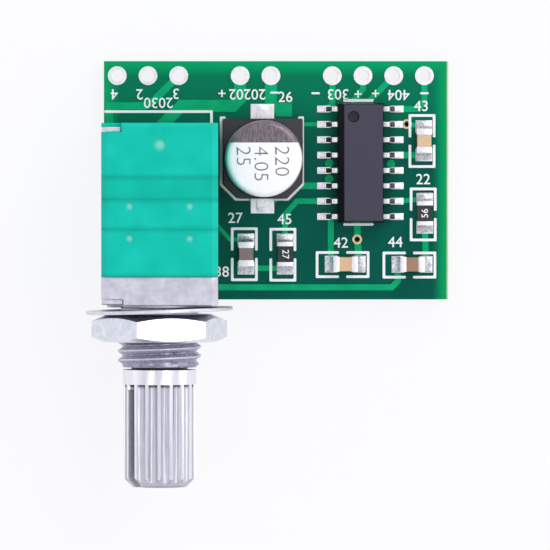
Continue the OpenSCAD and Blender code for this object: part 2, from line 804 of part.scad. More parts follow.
module front_casting() {
    top = pot_top - casting_drop;
    bottom = pot_bottom - casting_lift;
    color("#b9b8c2")
        on_axis() difference() {
            union() {
                linear_extrude(casting_t) pot_outline(half_w, top, bottom, casting_chamfer);
                translate([0, 0, -boss_t]) cylinder(r = boss_r, h = boss_t);
                rotate_extrude()
                    polygon([
                        [0, 0], [pitch_r, 0], [pitch_r, -nut_front - fit], [thread_d / 2, -nut_front - fit],
                        [thread_d / 2, bush_cut - bush_l], [thread_d / 2 - bush_cut, -bush_l], [0, -bush_l]
                    ]);
            }
            translate([0, 0, -bush_l - past]) cylinder(r = bore_r, h = bush_l + casting_t + 2 * past);
            both_channels();
            casting_notch(top);
            opposite() casting_notch(bottom);
        }
}

// Corner pocket that a strap's front end is folded into
module casting_notch(edge) {
    translate([-half_w - past, strap_rise - fit, -past])
        cube([strap_fold + fit + past, edge - strap_rise + fit + past, notch_front + past]);
}

module front_housing() {
    color("#10c0aa")
        on_axis() {
            difference() {
                housing_slab(d_front, d_centre);
                chamber(d_front - past, front_element_d, chamber_r);
                element_seat(front_element_d, front_element_d + element_t);
                chamber(d_centre - past, d_centre + past, element_hole_r);
                pin_marks(d_front + front_mark_from);
            }
            stop_block();
            feet(d_front + front_foot_from);
        }
}

// Stop in the front chamber that the rotor's lug meets at each end of its turn
module stop_block() {
    translate([0, 0, front_rotor_d]) linear_extrude(front_wiper_d - front_rotor_d - 2 * fit)
        intersection() {
            difference() {
                circle(chamber_r + 0.2);
                circle(stop_r);
            }
            wedge_outline(-90, stop_half);
        }
}

// Pie slice about a direction, wide enough to reach past the chamber
module wedge_outline(middle, half_angle) {
    reach = 3 * chamber_r;
    polygon([[0, 0], reach * [cos(middle - half_angle), sin(middle - half_angle)],
        reach * [cos(middle + half_angle), sin(middle + half_angle)]]);
}

module centre_housing() {
    color("#18c2ab")
        on_axis() difference() {
            housing_slab(d_centre, d_rear);
            chamber(d_centre - past, d_rear, chamber_r);
            element_seat(rear_element_d, d_rear + past);
            pin_marks(d_centre + centre_mark_from);
        }
}

module rear_housing() {
    color("#06b9a2")
        on_axis() difference() {
            housing_slab(d_rear, d_switch);
            chamber(d_rear - past, d_switch, element_hole_r);
            element_seat(switch_plate_d, d_switch + past);
        }
}

module switch_housing() {
    rear_cut = 0.33;
    reach = half_w + past;
    color("#10c0aa")
        on_axis() {
            difference() {
                housing_slab(d_switch, d_end);
                chamber(d_switch - past, switch_chamber_end, chamber_r - 0.1);
                switch_notch(pot_top);
                opposite() switch_notch(pot_bottom);
                translate([-reach, 0, 0]) rotate([90, 0, 90]) linear_extrude(2 * reach)
                    polygon([[pot_top + past, d_end - rear_cut - past], [pot_top + past, d_end + past],
                        [pot_top - rear_cut - past, d_end + past]]);
                translate([0, pot_top - pin_mark_depth, d_end - rear_mark_from_end]) rotate([-90, 0, 0])
                    cylinder(d = rear_mark_d, h = past);
            }
            feet(d_end - rear_foot_from_end);
        }
}

// Corner pocket at the rear that a strap's end is folded into
module switch_notch(edge) {
    translate([-half_w - past, strap_rise - fit, d_end - notch_rear])
        cube([strap_tail + fit + past, edge - strap_rise + fit + past, notch_rear + past]);
}

// Strip along one side, folded over the casting in front and over the last housing behind
module strap() {
    front = notch_front - strap_t;
    back = d_end - notch_rear + strap_t;
    translate([-half_w, strap_rise, 0]) {
        translate([0, 0, front]) cube([strap_t, strap_w, back - front]);
        translate([0, 0, front]) cube([strap_fold, strap_w, strap_t]);
        translate([0, 0, back - strap_t]) cube([strap_tail, strap_w, strap_t]);
    }
}

module left_strap() { color("#c9ccd2") on_axis() strap(); }
module right_strap() { color("#c9ccd2") on_axis() opposite() strap(); }

// Outline of the toothed end: a round with a groove between each pair of teeth
module tooth_outline() {
    r = shaft_d / 2;
    root_r = r - tooth_depth;
    step = 360 / tooth_count;
    top_half = step / 2 - asin(tooth_top / 2 / r);
    floor_half = 0.55 * top_half;
    // Each groove's flanks run on past the round
    out = 1 + 0.1 / tooth_depth;
    floor_at = root_r * [cos(floor_half), sin(floor_half)];
    edge_at = floor_at + out * (r * [cos(top_half), sin(top_half)] - floor_at);
    difference() {
        circle(r);
        for (k = [0 : tooth_count - 1])
            rotate(90 + tooth_turn + step * (k + 0.5))
                polygon([floor_at, edge_at, [edge_at[0], -edge_at[1]], [floor_at[0], -floor_at[1]]]);
    }
}

// Round with two flats, which drives the rotors
module stem_outline(grow) {
    intersection() {
        circle(stem_d / 2 + grow);
        square([stem_flats + 2 * grow, stem_d + 1], center = true);
    }
}

module shaft() {
    collar_back = -bush_l - collar_gap;
    teeth_back = collar_back - collar_l;
    tip_r = shaft_d / 2 - tip_chamfer;
    around_r = shaft_d / 2 + past;
    color("#c2c2cb")
        on_axis() {
            difference() {
                intersection() {
                    translate([0, 0, -shaft_l]) linear_extrude(shaft_l + teeth_back) tooth_outline();
                    rotate_extrude()
                        polygon([
                            [0, -shaft_l], [tip_r, -shaft_l], [around_r, around_r - tip_r - shaft_l],
                            [around_r, teeth_back + past], [0, teeth_back + past]
                        ]);
                }
                rotate(split_turn) translate([-split_w / 2, -shaft_d, -shaft_l - past])
                    cube([split_w, 2 * shaft_d, split_l + past]);
            }
            translate([0, 0, teeth_back]) cylinder(r = shaft_d / 2 - collar_drop, h = collar_l);
            translate([0, 0, collar_back]) cylinder(d = journal_d, h = d_ring - collar_back);
            translate([0, 0, d_ring]) cylinder(r = groove_r, h = ring_t);
            translate([0, 0, d_stem]) linear_extrude(stem_end - d_stem) stem_outline(0);
        }
}

// Clip in the shaft's groove, open at one side
module retaining_ring() {
    color("#8d9096")
        on_axis() translate([0, 0, d_ring]) linear_extrude(ring_t)
            difference() {
                circle(ring_r);
                circle(groove_r);
                translate([0, -groove_r * 0.8]) square([2 * ring_r, groove_r * 1.6]);
            }
}

// Moulded disc on the stem
module rotor_disc(from, to, r) {
    translate([0, 0, from]) linear_extrude(to - from)
        difference() {
            circle(r);
            stem_outline(fit / 2);
        }
}

// Spring plate with four contact tips, which rides on a rotor's face
module wiper_plate(plate_d, tips_d) {
    inner = stem_d / 2 + 0.25;
    outer = rotor_r - 0.2;
    translate([0, 0, plate_d]) linear_extrude(wiper_t) difference() {
        circle(outer);
        circle(inner);
    }
    for (a = [60, 120]) for (r = [inner + 0.3, outer - 0.3])
        rotate(a) translate([r, 0, tips_d]) cylinder(r = 0.22, h = brush_h + wiper_t);
}

module front_rotor() {
    color("#e8e6df")
        on_axis() {
            rotor_disc(front_rotor_d, front_wiper_d, stop_r - stop_clear);
            translate([0, 0, front_rotor_d]) linear_extrude(front_wiper_d - front_rotor_d)
                intersection() {
                    difference() {
                        circle(rotor_r);
                        circle(stop_r - 2 * stop_clear);
                    }
                    wedge_outline(90, 180 - turn_limit - stop_half - 2);
                }
        }
}

module rear_rotor() { color("#e8e6df") on_axis() rotor_disc(rear_rotor_d, rear_wiper_d, rotor_r); }
module switch_rotor() {
    color("#e8e6df") on_axis() rotor_disc(switch_rotor_d, switch_rotor_d + switch_rotor_t, rotor_r);
}

module front_wiper() { color("#d8b65c") on_axis() wiper_plate(front_wiper_d, front_wiper_d); }
module rear_wiper() { color("#d8b65c") on_axis() wiper_plate(rear_wiper_d, rear_wiper_d); }
module switch_wiper() { color("#d8b65c") on_axis() wiper_plate(switch_wiper_d, switch_brush_d); }

// Paper-based disc with a tab down to the terminals, which are let into it
module element(from, xs) {
    difference() {
        translate([0, 0, from]) linear_extrude(element_t)
            difference() {
                union() {
                    circle(element_r);
                    translate([-tab_w / 2, tab_lift - pot_bottom]) square([tab_w, pot_bottom - tab_lift]);
                }
                circle(element_hole_r);
            }
        terminals(from, xs);
    }
}

// Flat pins from inside an element down through the board
module terminals(from, xs) {
    for (x = xs)
        translate([x - pin_w / 2, z_low - axis_h, from + (element_t - pin_t) / 2])
            cube([pin_w, pin_top + pot_gap + tab_lift - z_low, pin_t]);
}

module front_element() { color("#6b4a2e") on_axis() element(front_element_d, row_xs); }
module rear_element() { color("#6b4a2e") on_axis() element(rear_element_d, row_xs); }
module switch_plate() { color("#6b4a2e") on_axis() element(switch_plate_d, switch_xs); }
module front_terminals() { color("#d5d8db") on_axis() terminals(front_element_d, row_xs); }
module rear_terminals() { color("#d5d8db") on_axis() terminals(rear_element_d, row_xs); }
module switch_terminals() { color("#d5d8db") on_axis() terminals(switch_plate_d, switch_xs); }

module washer() {
    color("#d6d8e0")
        on_axis() translate([0, 0, -washer_d_mid]) rotate([0, -washer_lean, 0]) difference() {
            cylinder(d = washer_d, h = washer_t, center = true);
            cylinder(r = thread_d / 2 + fit, h = washer_t + 2 * past, center = true);
        }
}

// Hexagon nut, turned down to a round seat behind and chamfered in front
module nut() {
    corner_r = nut_af / 2 / cos(30);
    around_r = corner_r + 0.05;
    color("#dcdee6")
        on_axis() translate([0, 0, -nut_front]) difference() {
            intersection() {
                rotate(nut_turn) cylinder(r = corner_r, h = nut_t, $fn = 6);
                rotate_extrude()
                    polygon([
                        [0, 0], [nut_face_r, 0], [around_r, nut_face_cut], [around_r, nut_t - nut_seat_cut],
                        [nut_seat_r, nut_t], [0, nut_t]
                    ]);
            }
            translate([0, 0, -past]) cylinder(r = pitch_r + fit / 2, h = nut_t + 2 * past);
        }
}

translate(to_origin) {
    circuit_board();
    copper_tracks();
    ground_plane();
    board_eyelets();
    via_rings();
    terminal_solder();
    chip_body();
    chip_leads();
    chip_solder();
    capacitor_base();
    capacitor_can();
    capacitor_terminals();
    capacitor_solder();
    input_capacitor();
    input_capacitor_ends();
    bypass_capacitor();
    bypass_capacitor_ends();
    filter_capacitor();
    filter_capacitor_ends();
    output_capacitor();
    output_capacitor_ends();
    input_resistor();
    input_resistor_coat();
    input_resistor_ends();
    gain_resistor();
    gain_resistor_coat();
    gain_resistor_ends();
    chip_part_solder();
    front_casting();
    front_housing();
    centre_housing();
    rear_housing();
    switch_housing();
    left_strap();
    right_strap();
    shaft();
    retaining_ring();
    front_rotor();
    front_wiper();
    front_element();
    front_terminals();
    rear_rotor();
    rear_wiper();
    rear_element();
    rear_terminals();
    switch_rotor();
    switch_wiper();
    switch_plate();
    switch_terminals();
    washer();
    nut();
}
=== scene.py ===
import math

import bmesh
import bpy
from mathutils import Matrix, Vector


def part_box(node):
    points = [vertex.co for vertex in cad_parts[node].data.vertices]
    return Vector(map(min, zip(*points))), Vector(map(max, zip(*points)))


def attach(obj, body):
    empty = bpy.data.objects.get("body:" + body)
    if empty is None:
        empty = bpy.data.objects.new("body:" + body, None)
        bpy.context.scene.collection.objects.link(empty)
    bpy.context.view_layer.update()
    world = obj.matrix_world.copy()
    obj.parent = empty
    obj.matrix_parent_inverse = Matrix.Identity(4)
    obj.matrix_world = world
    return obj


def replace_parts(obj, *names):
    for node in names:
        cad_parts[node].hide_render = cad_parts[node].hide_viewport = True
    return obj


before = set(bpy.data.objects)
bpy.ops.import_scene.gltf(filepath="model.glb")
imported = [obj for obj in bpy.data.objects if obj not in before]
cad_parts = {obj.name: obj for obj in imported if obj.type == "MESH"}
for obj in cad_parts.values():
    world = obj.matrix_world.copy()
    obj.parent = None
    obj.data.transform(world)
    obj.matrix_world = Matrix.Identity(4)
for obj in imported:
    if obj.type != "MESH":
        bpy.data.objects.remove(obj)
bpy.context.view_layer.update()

# Circuit board
# Glass-fibre laminate under green solder mask, drilled and plated, then snapped off its panel along the score
# line at its right edge. Every other piece is soldered to it or clamped to a piece that is.
MM = 0.001
board_low, board_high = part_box("circuit_board")
rim_w = 0.8 * MM
rim_blur = 0.65 * MM
# The mask is painted darker towards the front and paler towards the back, as painted light.
painted_shade_until = board_low.y + 11 * MM
painted_light_from = board_high.y - 1.5 * MM
cloud_size = 3 * MM
ply_length = 1.6 * MM
weave_pitch = 0.45 * MM
weave_depth = 0.004 * MM


def linear(colour):
    """An sRGB hex colour as linear RGBA."""
    parts = [int(colour[i:i + 2], 16) / 255 for i in (1, 3, 5)]
    return [c / 12.92 if c <= 0.04045 else ((c + 0.055) / 1.055) ** 2.4 for c in parts] + [1]


def set_sockets(tree, node, inputs):
    """Sets each named socket to a value, or links it to another node's output."""
    for socket, value in inputs.items():
        if isinstance(value, bpy.types.NodeSocket):
            tree.links.new(value, node.inputs[socket])
        else:
            node.inputs[socket].default_value = value


def add_node(tree, kind, inputs, **settings):
    """A new node with its settings and its sockets. A mix of colours takes them on sockets 6 and 7, and gives
    the result on output 2."""
    node = tree.nodes.new(kind)
    for name, value in settings.items():
        setattr(node, name, value)
    set_sockets(tree, node, inputs)
    return node


def start_finish(name):
    """A new material, its nodes, its shader and the piece's own coordinates."""
    material = bpy.data.materials.new(name)
    material.use_nodes = True
    tree = material.node_tree
    coordinates = add_node(tree, "ShaderNodeTexCoord", {})
    return material, tree, tree.nodes["Principled BSDF"], coordinates


def dress(material, *nodes):
    """Gives frame nodes a finish."""
    for name in nodes:
        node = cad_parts[name]
        if not node.material_slots:
            node.data.materials.append(material)
        for slot in node.material_slots:
            slot.material = material


def solder_mask_on_laminate():
    """Glossy green lacquer over woven glass: deep green over the plane, with painted light that makes it
    paler towards the back and a painted glow where light comes through the bare rim behind and at the sides,
    and pale straw with fine plies where the cut edge shows."""
    material, tree, shader, coordinates = start_finish("solder_mask_on_laminate")
    place = add_node(tree, "ShaderNodeSeparateXYZ", {"Vector": coordinates.outputs["Object"]})
    nearest = add_node(tree, "ShaderNodeMath", {
        0: place.outputs["X"], 1: board_low.x}, operation="SUBTRACT").outputs[0]
    for axis, name in enumerate("XY"):
        gap = add_node(tree, "ShaderNodeMath", {
            0: board_high[axis], 1: place.outputs[name]}, operation="SUBTRACT")
        nearest = add_node(tree, "ShaderNodeMath", {
            0: nearest, 1: gap.outputs[0]}, operation="MINIMUM").outputs[0]
    # Painted light: a paler green glow along the bare rim at the back and the sides, where light comes
    # through.
    rim = add_node(tree, "ShaderNodeMapRange", {
        "Value": nearest, "From Min": rim_w - rim_blur, "From Max": rim_w + rim_blur,
        "To Min": 1, "To Max": 0,
    }, interpolation_type="SMOOTHSTEP")
    # Painted light: the mask grows paler towards the back, where more light falls.
    rearward = add_node(tree, "ShaderNodeMapRange", {
        "Value": place.outputs["Y"], "From Min": painted_shade_until, "From Max": painted_light_from,
    }, interpolation_type="SMOOTHSTEP")
    cloud = add_node(tree, "ShaderNodeTexNoise", {
        "Vector": coordinates.outputs["Object"], "Scale": 1 / cloud_size, "Detail": 3.0})
    blotch = add_node(tree, "ShaderNodeMix", {
        "Factor": cloud.outputs["Fac"], 6: linear("#004d42"), 7: linear("#005d4d")}, data_type="RGBA")
    field = add_node(tree, "ShaderNodeMix", {
        "Factor": rearward.outputs[0], 6: blotch.outputs[2], 7: linear("#007452")}, data_type="RGBA")
    mask = add_node(tree, "ShaderNodeMix", {
        "Factor": rim.outputs[0], 6: field.outputs[2], 7: linear("#009c60")}, data_type="RGBA")
    layers = add_node(tree, "ShaderNodeMapping", {
        "Vector": coordinates.outputs["Object"], "Scale": (1, 1, 12)})
    ply = add_node(tree, "ShaderNodeTexNoise", {
        "Vector": layers.outputs[0], "Scale": 1 / ply_length, "Detail": 4.0})
    laminate = add_node(tree, "ShaderNodeMix", {
        "Factor": ply.outputs["Fac"], 6: linear("#8fae74"), 7: linear("#d9dfb4")}, data_type="RGBA")
    facing = add_node(tree, "ShaderNodeSeparateXYZ", {"Vector": coordinates.outputs["Normal"]})
    upward = add_node(tree, "ShaderNodeMath", {0: facing.outputs["Z"]}, operation="ABSOLUTE")
    flat = add_node(tree, "ShaderNodeMath", {0: upward.outputs[0], 1: 0.5}, operation="GREATER_THAN")
    colour = add_node(tree, "ShaderNodeMix", {
        "Factor": flat.outputs[0], 6: laminate.outputs[2], 7: mask.outputs[2]}, data_type="RGBA")
    gloss = add_node(tree, "ShaderNodeMapRange", {"Value": flat.outputs[0], "To Min": 0.75, "To Max": 0.3})
    # At a scale of 1, this texture repeats every tau / 20.
    threads = [add_node(tree, "ShaderNodeTexWave", {
        "Vector": coordinates.outputs["Object"], "Scale": math.tau / 20 / weave_pitch,
    }, wave_type="BANDS", bands_direction=axis).outputs["Fac"] for axis in "XY"]
    weave = add_node(tree, "ShaderNodeMath", {0: threads[0], 1: threads[1]}, operation="MULTIPLY")
    dents = add_node(tree, "ShaderNodeBump", {
        "Height": weave.outputs[0], "Strength": 0.12, "Distance": weave_depth})
    set_sockets(tree, shader, {
        "Base Color": colour.outputs[2], "Roughness": gloss.outputs[0], "Normal": dents.outputs[0],
        "IOR": 1.5, "Specular IOR Level": 0.06})
    return material


dress(solder_mask_on_laminate(), "circuit_board")

# Copper tracks and ground plane
# Etched copper foil on the laminate's two faces. The same green lacquer lies over it, so it shows as a
# brighter, warmer green that stands a little proud of the board.


def grained(name, first, second, grain, roughness, metallic=0.0, dent=0.0, stretch=(1, 1, 1), **sockets):
    """A finish whose colour, gloss and surface vary over grains of one size. A stretch under 1 draws the
    grains out along that axis."""
    material, tree, shader, coordinates = start_finish(name)
    place = add_node(tree, "ShaderNodeMapping", {
        "Vector": coordinates.outputs["Object"], "Scale": stretch})
    speck = add_node(tree, "ShaderNodeTexNoise", {
        "Vector": place.outputs[0], "Scale": 1 / grain, "Detail": 4.0, "Roughness": 0.6})
    # Noise lies mostly between 0.3 and 0.7, which is spread over the whole range.
    spread = add_node(tree, "ShaderNodeMapRange", {
        "Value": speck.outputs["Fac"], "From Min": 0.3, "From Max": 0.7})
    colour = add_node(tree, "ShaderNodeMix", {
        "Factor": spread.outputs[0], 6: linear(first), 7: linear(second)}, data_type="RGBA")
    gloss = add_node(tree, "ShaderNodeMapRange", {
        "Value": spread.outputs[0], "To Min": roughness * 0.85, "To Max": roughness * 1.15})
    dents = add_node(tree, "ShaderNodeBump", {
        "Height": speck.outputs["Fac"], "Strength": 1.0 if dent else 0.0, "Distance": dent})
    set_sockets(tree, shader, {
        "Base Color": colour.outputs[2], "Roughness": gloss.outputs[0], "Metallic": metallic,
        "Normal": dents.outputs[0]})
    set_sockets(tree, shader, {socket.replace("_", " "): value for socket, value in sockets.items()})
    return material


# The lacquer is thin over the tracks, and the copper lights it from below.
mask_on_copper = grained("solder_mask_on_copper", "#009a63", "#06ac76", 1.2 * MM, 0.3, IOR=1.5,
                         Specular_IOR_Level=0.08)
dress(mask_on_copper, "copper_tracks")
# Over the broad plane it is an even, darker green with faint clouds.
mask_on_plane = grained("solder_mask_on_plane", "#00664a", "#007d57", 2.5 * MM, 0.3, IOR=1.5)
dress(mask_on_plane, "ground_plane")

# Plated wire holes and vias
# Copper barrels grown through the drilled holes, with a flat ring on each face. The wire holes are levelled
# with hot solder. The two small vias keep a dull, flux-stained ring, and mask closes them underneath; the
# shade down their holes is painted dark brown at the mouth and on the mask.
via_ring_r = 0.4 * MM
tent_r = 0.34 * MM
tent_t = 0.02 * MM
mouth_shade_r = 0.24 * MM
via_hole_r = 0.16 * MM
mouth_shade_t = 0.006 * MM
via_steps = 24
weld = 0.0005 * MM
crease = math.radians(35)


def piece(shape, name, material, body="board_assembly"):
    """A mesh object at the origin, smooth but for its sharp edges, that rides on a body."""
    mesh = bpy.data.meshes.new(name)
    shape.to_mesh(mesh)
    shape.free()
    mesh.materials.append(material)
    mesh.polygons.foreach_set("use_smooth", [True] * len(mesh.polygons))
    mesh.set_sharp_from_angle(angle=crease)
    made = bpy.data.objects.new(name, mesh)
    bpy.context.scene.collection.objects.link(made)
    made.modifiers.new("even_shading", "WEIGHTED_NORMAL").keep_sharp = True
    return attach(made, body)


def spun(profile, place, steps):
    """A closed turned shape: a half outline of (radius, height) points spun about the Z axis at a place."""
    shape = bmesh.new()
    verts = [shape.verts.new((r, 0, z)) for r, z in profile]
    edges = [shape.edges.new(pair) for pair in zip(verts, verts[1:])]
    bmesh.ops.spin(shape, geom=verts + edges, cent=(0, 0, 0), axis=(0, 0, 1), angle=math.tau, steps=steps,
                   use_merge=True)
    bmesh.ops.remove_doubles(shape, verts=shape.verts, dist=weld)
    bmesh.ops.recalc_face_normals(shape, faces=shape.faces)
    bmesh.ops.translate(shape, vec=place, verts=shape.verts)
    return shape


# Solder that hot air has blown level: frosty white metal with a faint ripple.
tinned = grained("hot_air_levelled_tin", "#e4e2e6", "#f6f5f8", 0.35 * MM, 0.42, metallic=0.85,
                 dent=0.006 * MM)
dress(tinned, "board_eyelets")
# Bare copper under old flux: straw yellow, unevenly dulled.
stained_copper = grained("stained_via_copper", "#c8ac6e", "#e9d7b0", 0.2 * MM, 0.4, metallic=0.9)
dress(stained_copper, "via_rings")
# A dark brown ring at the hole's mouth with a low shine, painted as the shade going down into the hole.
via_mouth_shade_finish = grained("via_mouth_shade_finish", "#2a1a0c", "#4b3318", 0.15 * MM, 0.45, IOR=1.5)
# Mask closing the hole underneath, painted near black with a brown cast as the shade down the hole.
via_shade_mask = grained("solder_mask_painted_via_shade", "#1c1408", "#2c2211", 0.2 * MM, 0.5, IOR=1.5)
via_low, via_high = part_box("via_rings")
tent_profile = [(0, 0), (tent_r, 0), (tent_r, -tent_t), (0, -tent_t)]
mouth_shade_profile = [(via_hole_r, 0), (mouth_shade_r, 0), (via_hole_r, mouth_shade_t), (via_hole_r, 0)]
for number, corner, inward in ((1, via_low, 1), (2, via_high, -1)):
    middle = corner + inward * Vector((via_ring_r, via_ring_r, 0))
    tent = spun(tent_profile, (middle.x, middle.y, via_low.z), via_steps)
    piece(tent, f"via_tent_{number}", via_shade_mask)
    # Painted shade: a dark ring round each via's mouth.
    mouth_shade_ring = spun(mouth_shade_profile, (middle.x, middle.y, via_high.z), via_steps)
    piece(mouth_shade_ring, f"via_mouth_shade_{number}", via_mouth_shade_finish)

# Silkscreen
# White epoxy ink, screened over the mask in lines about a quarter of a millimetre wide: outlines of the chip
# parts, the chip's ends, the capacitor and the potentiometer, signs at the wire holes and plain numbers.
ink_line = 0.22 * MM
ink_top = 0.07 * MM
ink_round = 0.08 * MM
digit_h = 0.86 * MM
digit_stroke = 0.008 * MM
font_cap = 0.7
silk = bmesh.new()


def stamp(flat, print_mesh, height, place, turn=0.0):
    """Gives a flat shape a height, turns it about its centre and sets it down on a print."""
    flat.normal_update()
    for face in flat.faces:
        if face.normal.z > 0:
            face.normal_flip()
    flat.normal_update()
    bmesh.ops.solidify(flat, geom=flat.faces[:], thickness=height)
    lowest = min(v.co.z for v in flat.verts)
    bmesh.ops.translate(flat, vec=(0, 0, -lowest), verts=flat.verts)
    where = Matrix.Translation(place) @ Matrix.Rotation(math.radians(turn), 4, "Z")
    bmesh.ops.transform(flat, matrix=where, verts=flat.verts)
    bmesh.ops.recalc_face_normals(flat, faces=flat.faces)
    scrap = bpy.data.meshes.new("scrap")
    flat.to_mesh(scrap)
    print_mesh.from_mesh(scrap)
    bpy.data.meshes.remove(scrap)
    flat.free()


def rounded(flat):
    """Joins a flat shape's faces and rounds its corners, as ink rounds them."""
    bmesh.ops.remove_doubles(flat, verts=flat.verts, dist=4 * weld)
    bmesh.ops.dissolve_limit(flat, angle_limit=math.radians(1), verts=flat.verts, edges=flat.edges)
    bmesh.ops.bevel(flat, geom=flat.verts[:], offset=ink_round, affect="VERTICES", segments=3, profile=0.5,
                    material=-1, clamp_overlap=True)
    bmesh.ops.triangulate(flat, faces=flat.faces[:])
    return flat


def outline(corners, openings):
    """A flat line of even width inside a closed outline, left out inside each opening's box."""
    flat = bmesh.new()
    whole = flat.faces.new([flat.verts.new((x * MM, y * MM, 0)) for x, y in corners])
    flat.normal_update()
    bmesh.ops.inset_region(flat, faces=[whole], thickness=ink_line, use_boundary=True, use_even_offset=True)
    bmesh.ops.delete(flat, geom=[whole], context="FACES")
    for low_x, high_x, low_y, high_y in openings:
        for spot, normal in (((low_x, 0), (1, 0, 0)), ((high_x, 0), (1, 0, 0)),
                             ((0, low_y), (0, 1, 0)), ((0, high_y), (0, 1, 0))):
            bmesh.ops.bisect_plane(flat, geom=flat.verts[:] + flat.edges[:] + flat.faces[:],
                                   plane_co=(spot[0] * MM, spot[1] * MM, 0), plane_no=normal)
        middles = [(f, f.calc_center_median() / MM) for f in flat.faces]
        inside = [f for f, m in middles if low_x < m.x < high_x and low_y < m.y < high_y]
        bmesh.ops.delete(flat, geom=inside, context="FACES")
    return rounded(flat)


def figures(text, height, stroke):
    """Flat figures of a given height about the origin, with strokes grown by a margin."""
    letters = bpy.data.curves.new("figures", "FONT")
    letters.body = text
    letters.size = height / font_cap
    letters.offset = stroke
    letters.align_x = "CENTER"
    letters.align_y = "CENTER"
    letters.resolution_u = 3
    holder = bpy.data.objects.new("figures", letters)
    mesh = bpy.data.meshes.new_from_object(holder)
    flat = bmesh.new()
    flat.from_mesh(mesh)
    bmesh.ops.remove_doubles(flat, verts=flat.verts, dist=2 * weld)
    bpy.data.objects.remove(holder)
    bpy.data.curves.remove(letters)
    bpy.data.meshes.remove(mesh)
    return flat


def on_board(x, y):
    """A point on the board's top face, in millimetres from its front left corner."""
    return Vector((board_low.x + x * MM, board_low.y + y * MM, board_high.z))


def box_corners(low_x, high_x, low_y, high_y):
    """The corners of a box in millimetres, in order."""
    return [(low_x, low_y), (high_x, low_y), (high_x, high_y), (low_x, high_y)]


chip_part_box = box_corners(-1.11, 1.11, -2.22, 2.22)
chip_part_openings = [(-2, 2, -0.3, 0.3)]
chip_part_places = [(11.6, 3.74, 0), (14.79, 3.7, 0), (26.3, 13.1, 0), (26.4, 7.03, 0), (19.73, 2.88, 90),
                    (25.26, 2.84, 90)]
for x, y, turn in chip_part_places:
    stamp(outline(chip_part_box, chip_part_openings), silk, ink_top, on_board(x, y), turn)
chip_ends = [(21.04, 16.45, 1.25, 0.12), (21.04, 6.2, 1.25, 0.1)]
minus_signs = [(x, y, 0.36, 0.08) for x, y in ((14.1, 17.1), (17.5, 17.05), (26.5, 17.05))]
for x, y, half_l, half_w in chip_ends + minus_signs:
    bar = bmesh.new()
    bmesh.ops.create_grid(bar, x_segments=1, y_segments=1, size=1.0)
    bmesh.ops.scale(bar, vec=(half_l * MM, half_w * MM, 1), verts=bar.verts)
    stamp(rounded(bar), silk, ink_top, on_board(x, y))
can_outline = [(-3.48, 3.48), (-3.48, -2.2), (-2.2, -3.48), (2.2, -3.48), (3.48, -2.2), (3.48, 3.48)]
can_openings = [(-3.0, 3.0, 3, 4), (-1.05, 1.05, -4, -3)]
stamp(outline(can_outline, can_openings), silk, ink_top, on_board(13.05, 11.65))
pot_outline = box_corners(0.03, 9.0, 3, 15.64)
pot_openings = [(0, 0.5, 2, 15.42), (0, 8.5, 2, 4)]
stamp(outline(pot_outline, pot_openings), silk, ink_top, on_board(0, 0))
labels = [
    ("4", 0.85, 17.0, 180), ("2", 2.95, 17.0, 180), ("3", 5.95, 17.05, 180), ("2030", 4.5, 16.3, 180),
    ("+", 9.75, 17.1, 180), ("20202", 11.85, 17.0, 180), ("303", 19.35, 17.0, 180),
    ("+", 21.0, 17.05, 180), ("+", 22.45, 17.1, 180), ("404", 24.35, 16.95, 180), ("26", 15.0, 16.7, 0),
    ("43", 26.25, 15.95, 0), ("22", 26.4, 9.9, 0), ("27", 10.85, 6.7, 0), ("45", 14.95, 6.6, 0),
    ("42", 19.6, 4.65, 0), ("44", 24.1, 4.7, 0), ("38", 9.75, 2.25, 0)]
for text, x, y, turn in labels:
    stamp(figures(text, digit_h, digit_stroke), silk, ink_top, on_board(x, y), turn)
# Baked epoxy ink: an almost matt white, a little thinner in places.
white_ink = grained("white_epoxy_ink", "#e6ebe9", "#f7f9f8", 0.12 * MM, 0.55, IOR=1.5)
piece(silk, "silkscreen_print", white_ink)

# Terminal joints
# Solder drawn up round the potentiometer's eight terminals under the board, by hand or by wave. It sets as
# bright metal whose crystals leave a light and dark ripple.
solder = grained("bright_solder", "#a0a1a8", "#f0f0f3", 0.17 * MM, 0.3, metallic=1.0, dent=0.03 * MM)
dress(solder, "terminal_solder")

# Amplifier chip
# Sixteen-lead package: black epoxy moulded round a stamped, tin-plated lead frame, with a bevel along the
# first row of leads and a dimple at the first lead. The tin is painted dark on the sloping faces where the
# leads bend down, as shade, and their feet are reflowed onto tinned pads.
chip_low, chip_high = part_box("chip_body")
chip_x = (chip_low.x + chip_high.x) / 2
chip_edge = 0.05 * MM
dimple_depth = 0.1 * MM
filler_size = 0.07 * MM
lead_edge = 0.04 * MM
bend_from = 2.36 * MM
bend_to = 2.87 * MM
level_face = 0.9
side_face = 0.3
fillet_edge = 0.03 * MM
sharp_corner = math.radians(25)
flat_corner = math.radians(0.5)


def node_copy(node):
    """A copy of a node's mesh with its loose triangles joined."""
    shape = bmesh.new()
    shape.from_mesh(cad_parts[node].data)
    bmesh.ops.remove_doubles(shape, verts=shape.verts, dist=weld)
    return shape


def sharp_edges(shape):
    """The edges at which a shape's faces meet at a corner."""
    return [e for e in shape.edges if e.is_manifold and e.calc_face_angle() > sharp_corner]


def round_edges(shape, edges, width, segments):
    """Rounds off a shape's edges."""
    bmesh.ops.bevel(shape, geom=edges, offset=width, offset_type="OFFSET", affect="EDGES", segments=segments,
                    profile=0.5, material=-1, clamp_overlap=True)


def softened(node, name, material, width, segments=2, shortest=0.0):
    """A copy of a node's mesh, which stands for that node, with its sharp edges rounded off. Edges under a
    shortest length keep their corner."""
    shape = node_copy(node)
    bmesh.ops.dissolve_limit(shape, angle_limit=flat_corner, verts=shape.verts, edges=shape.edges,
                             delimit={"NORMAL"})
    edges = [e for e in sharp_edges(shape) if e.calc_length() >= shortest]
    round_edges(shape, edges, width, segments)
    made = piece(shape, name, material)
    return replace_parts(made, node)


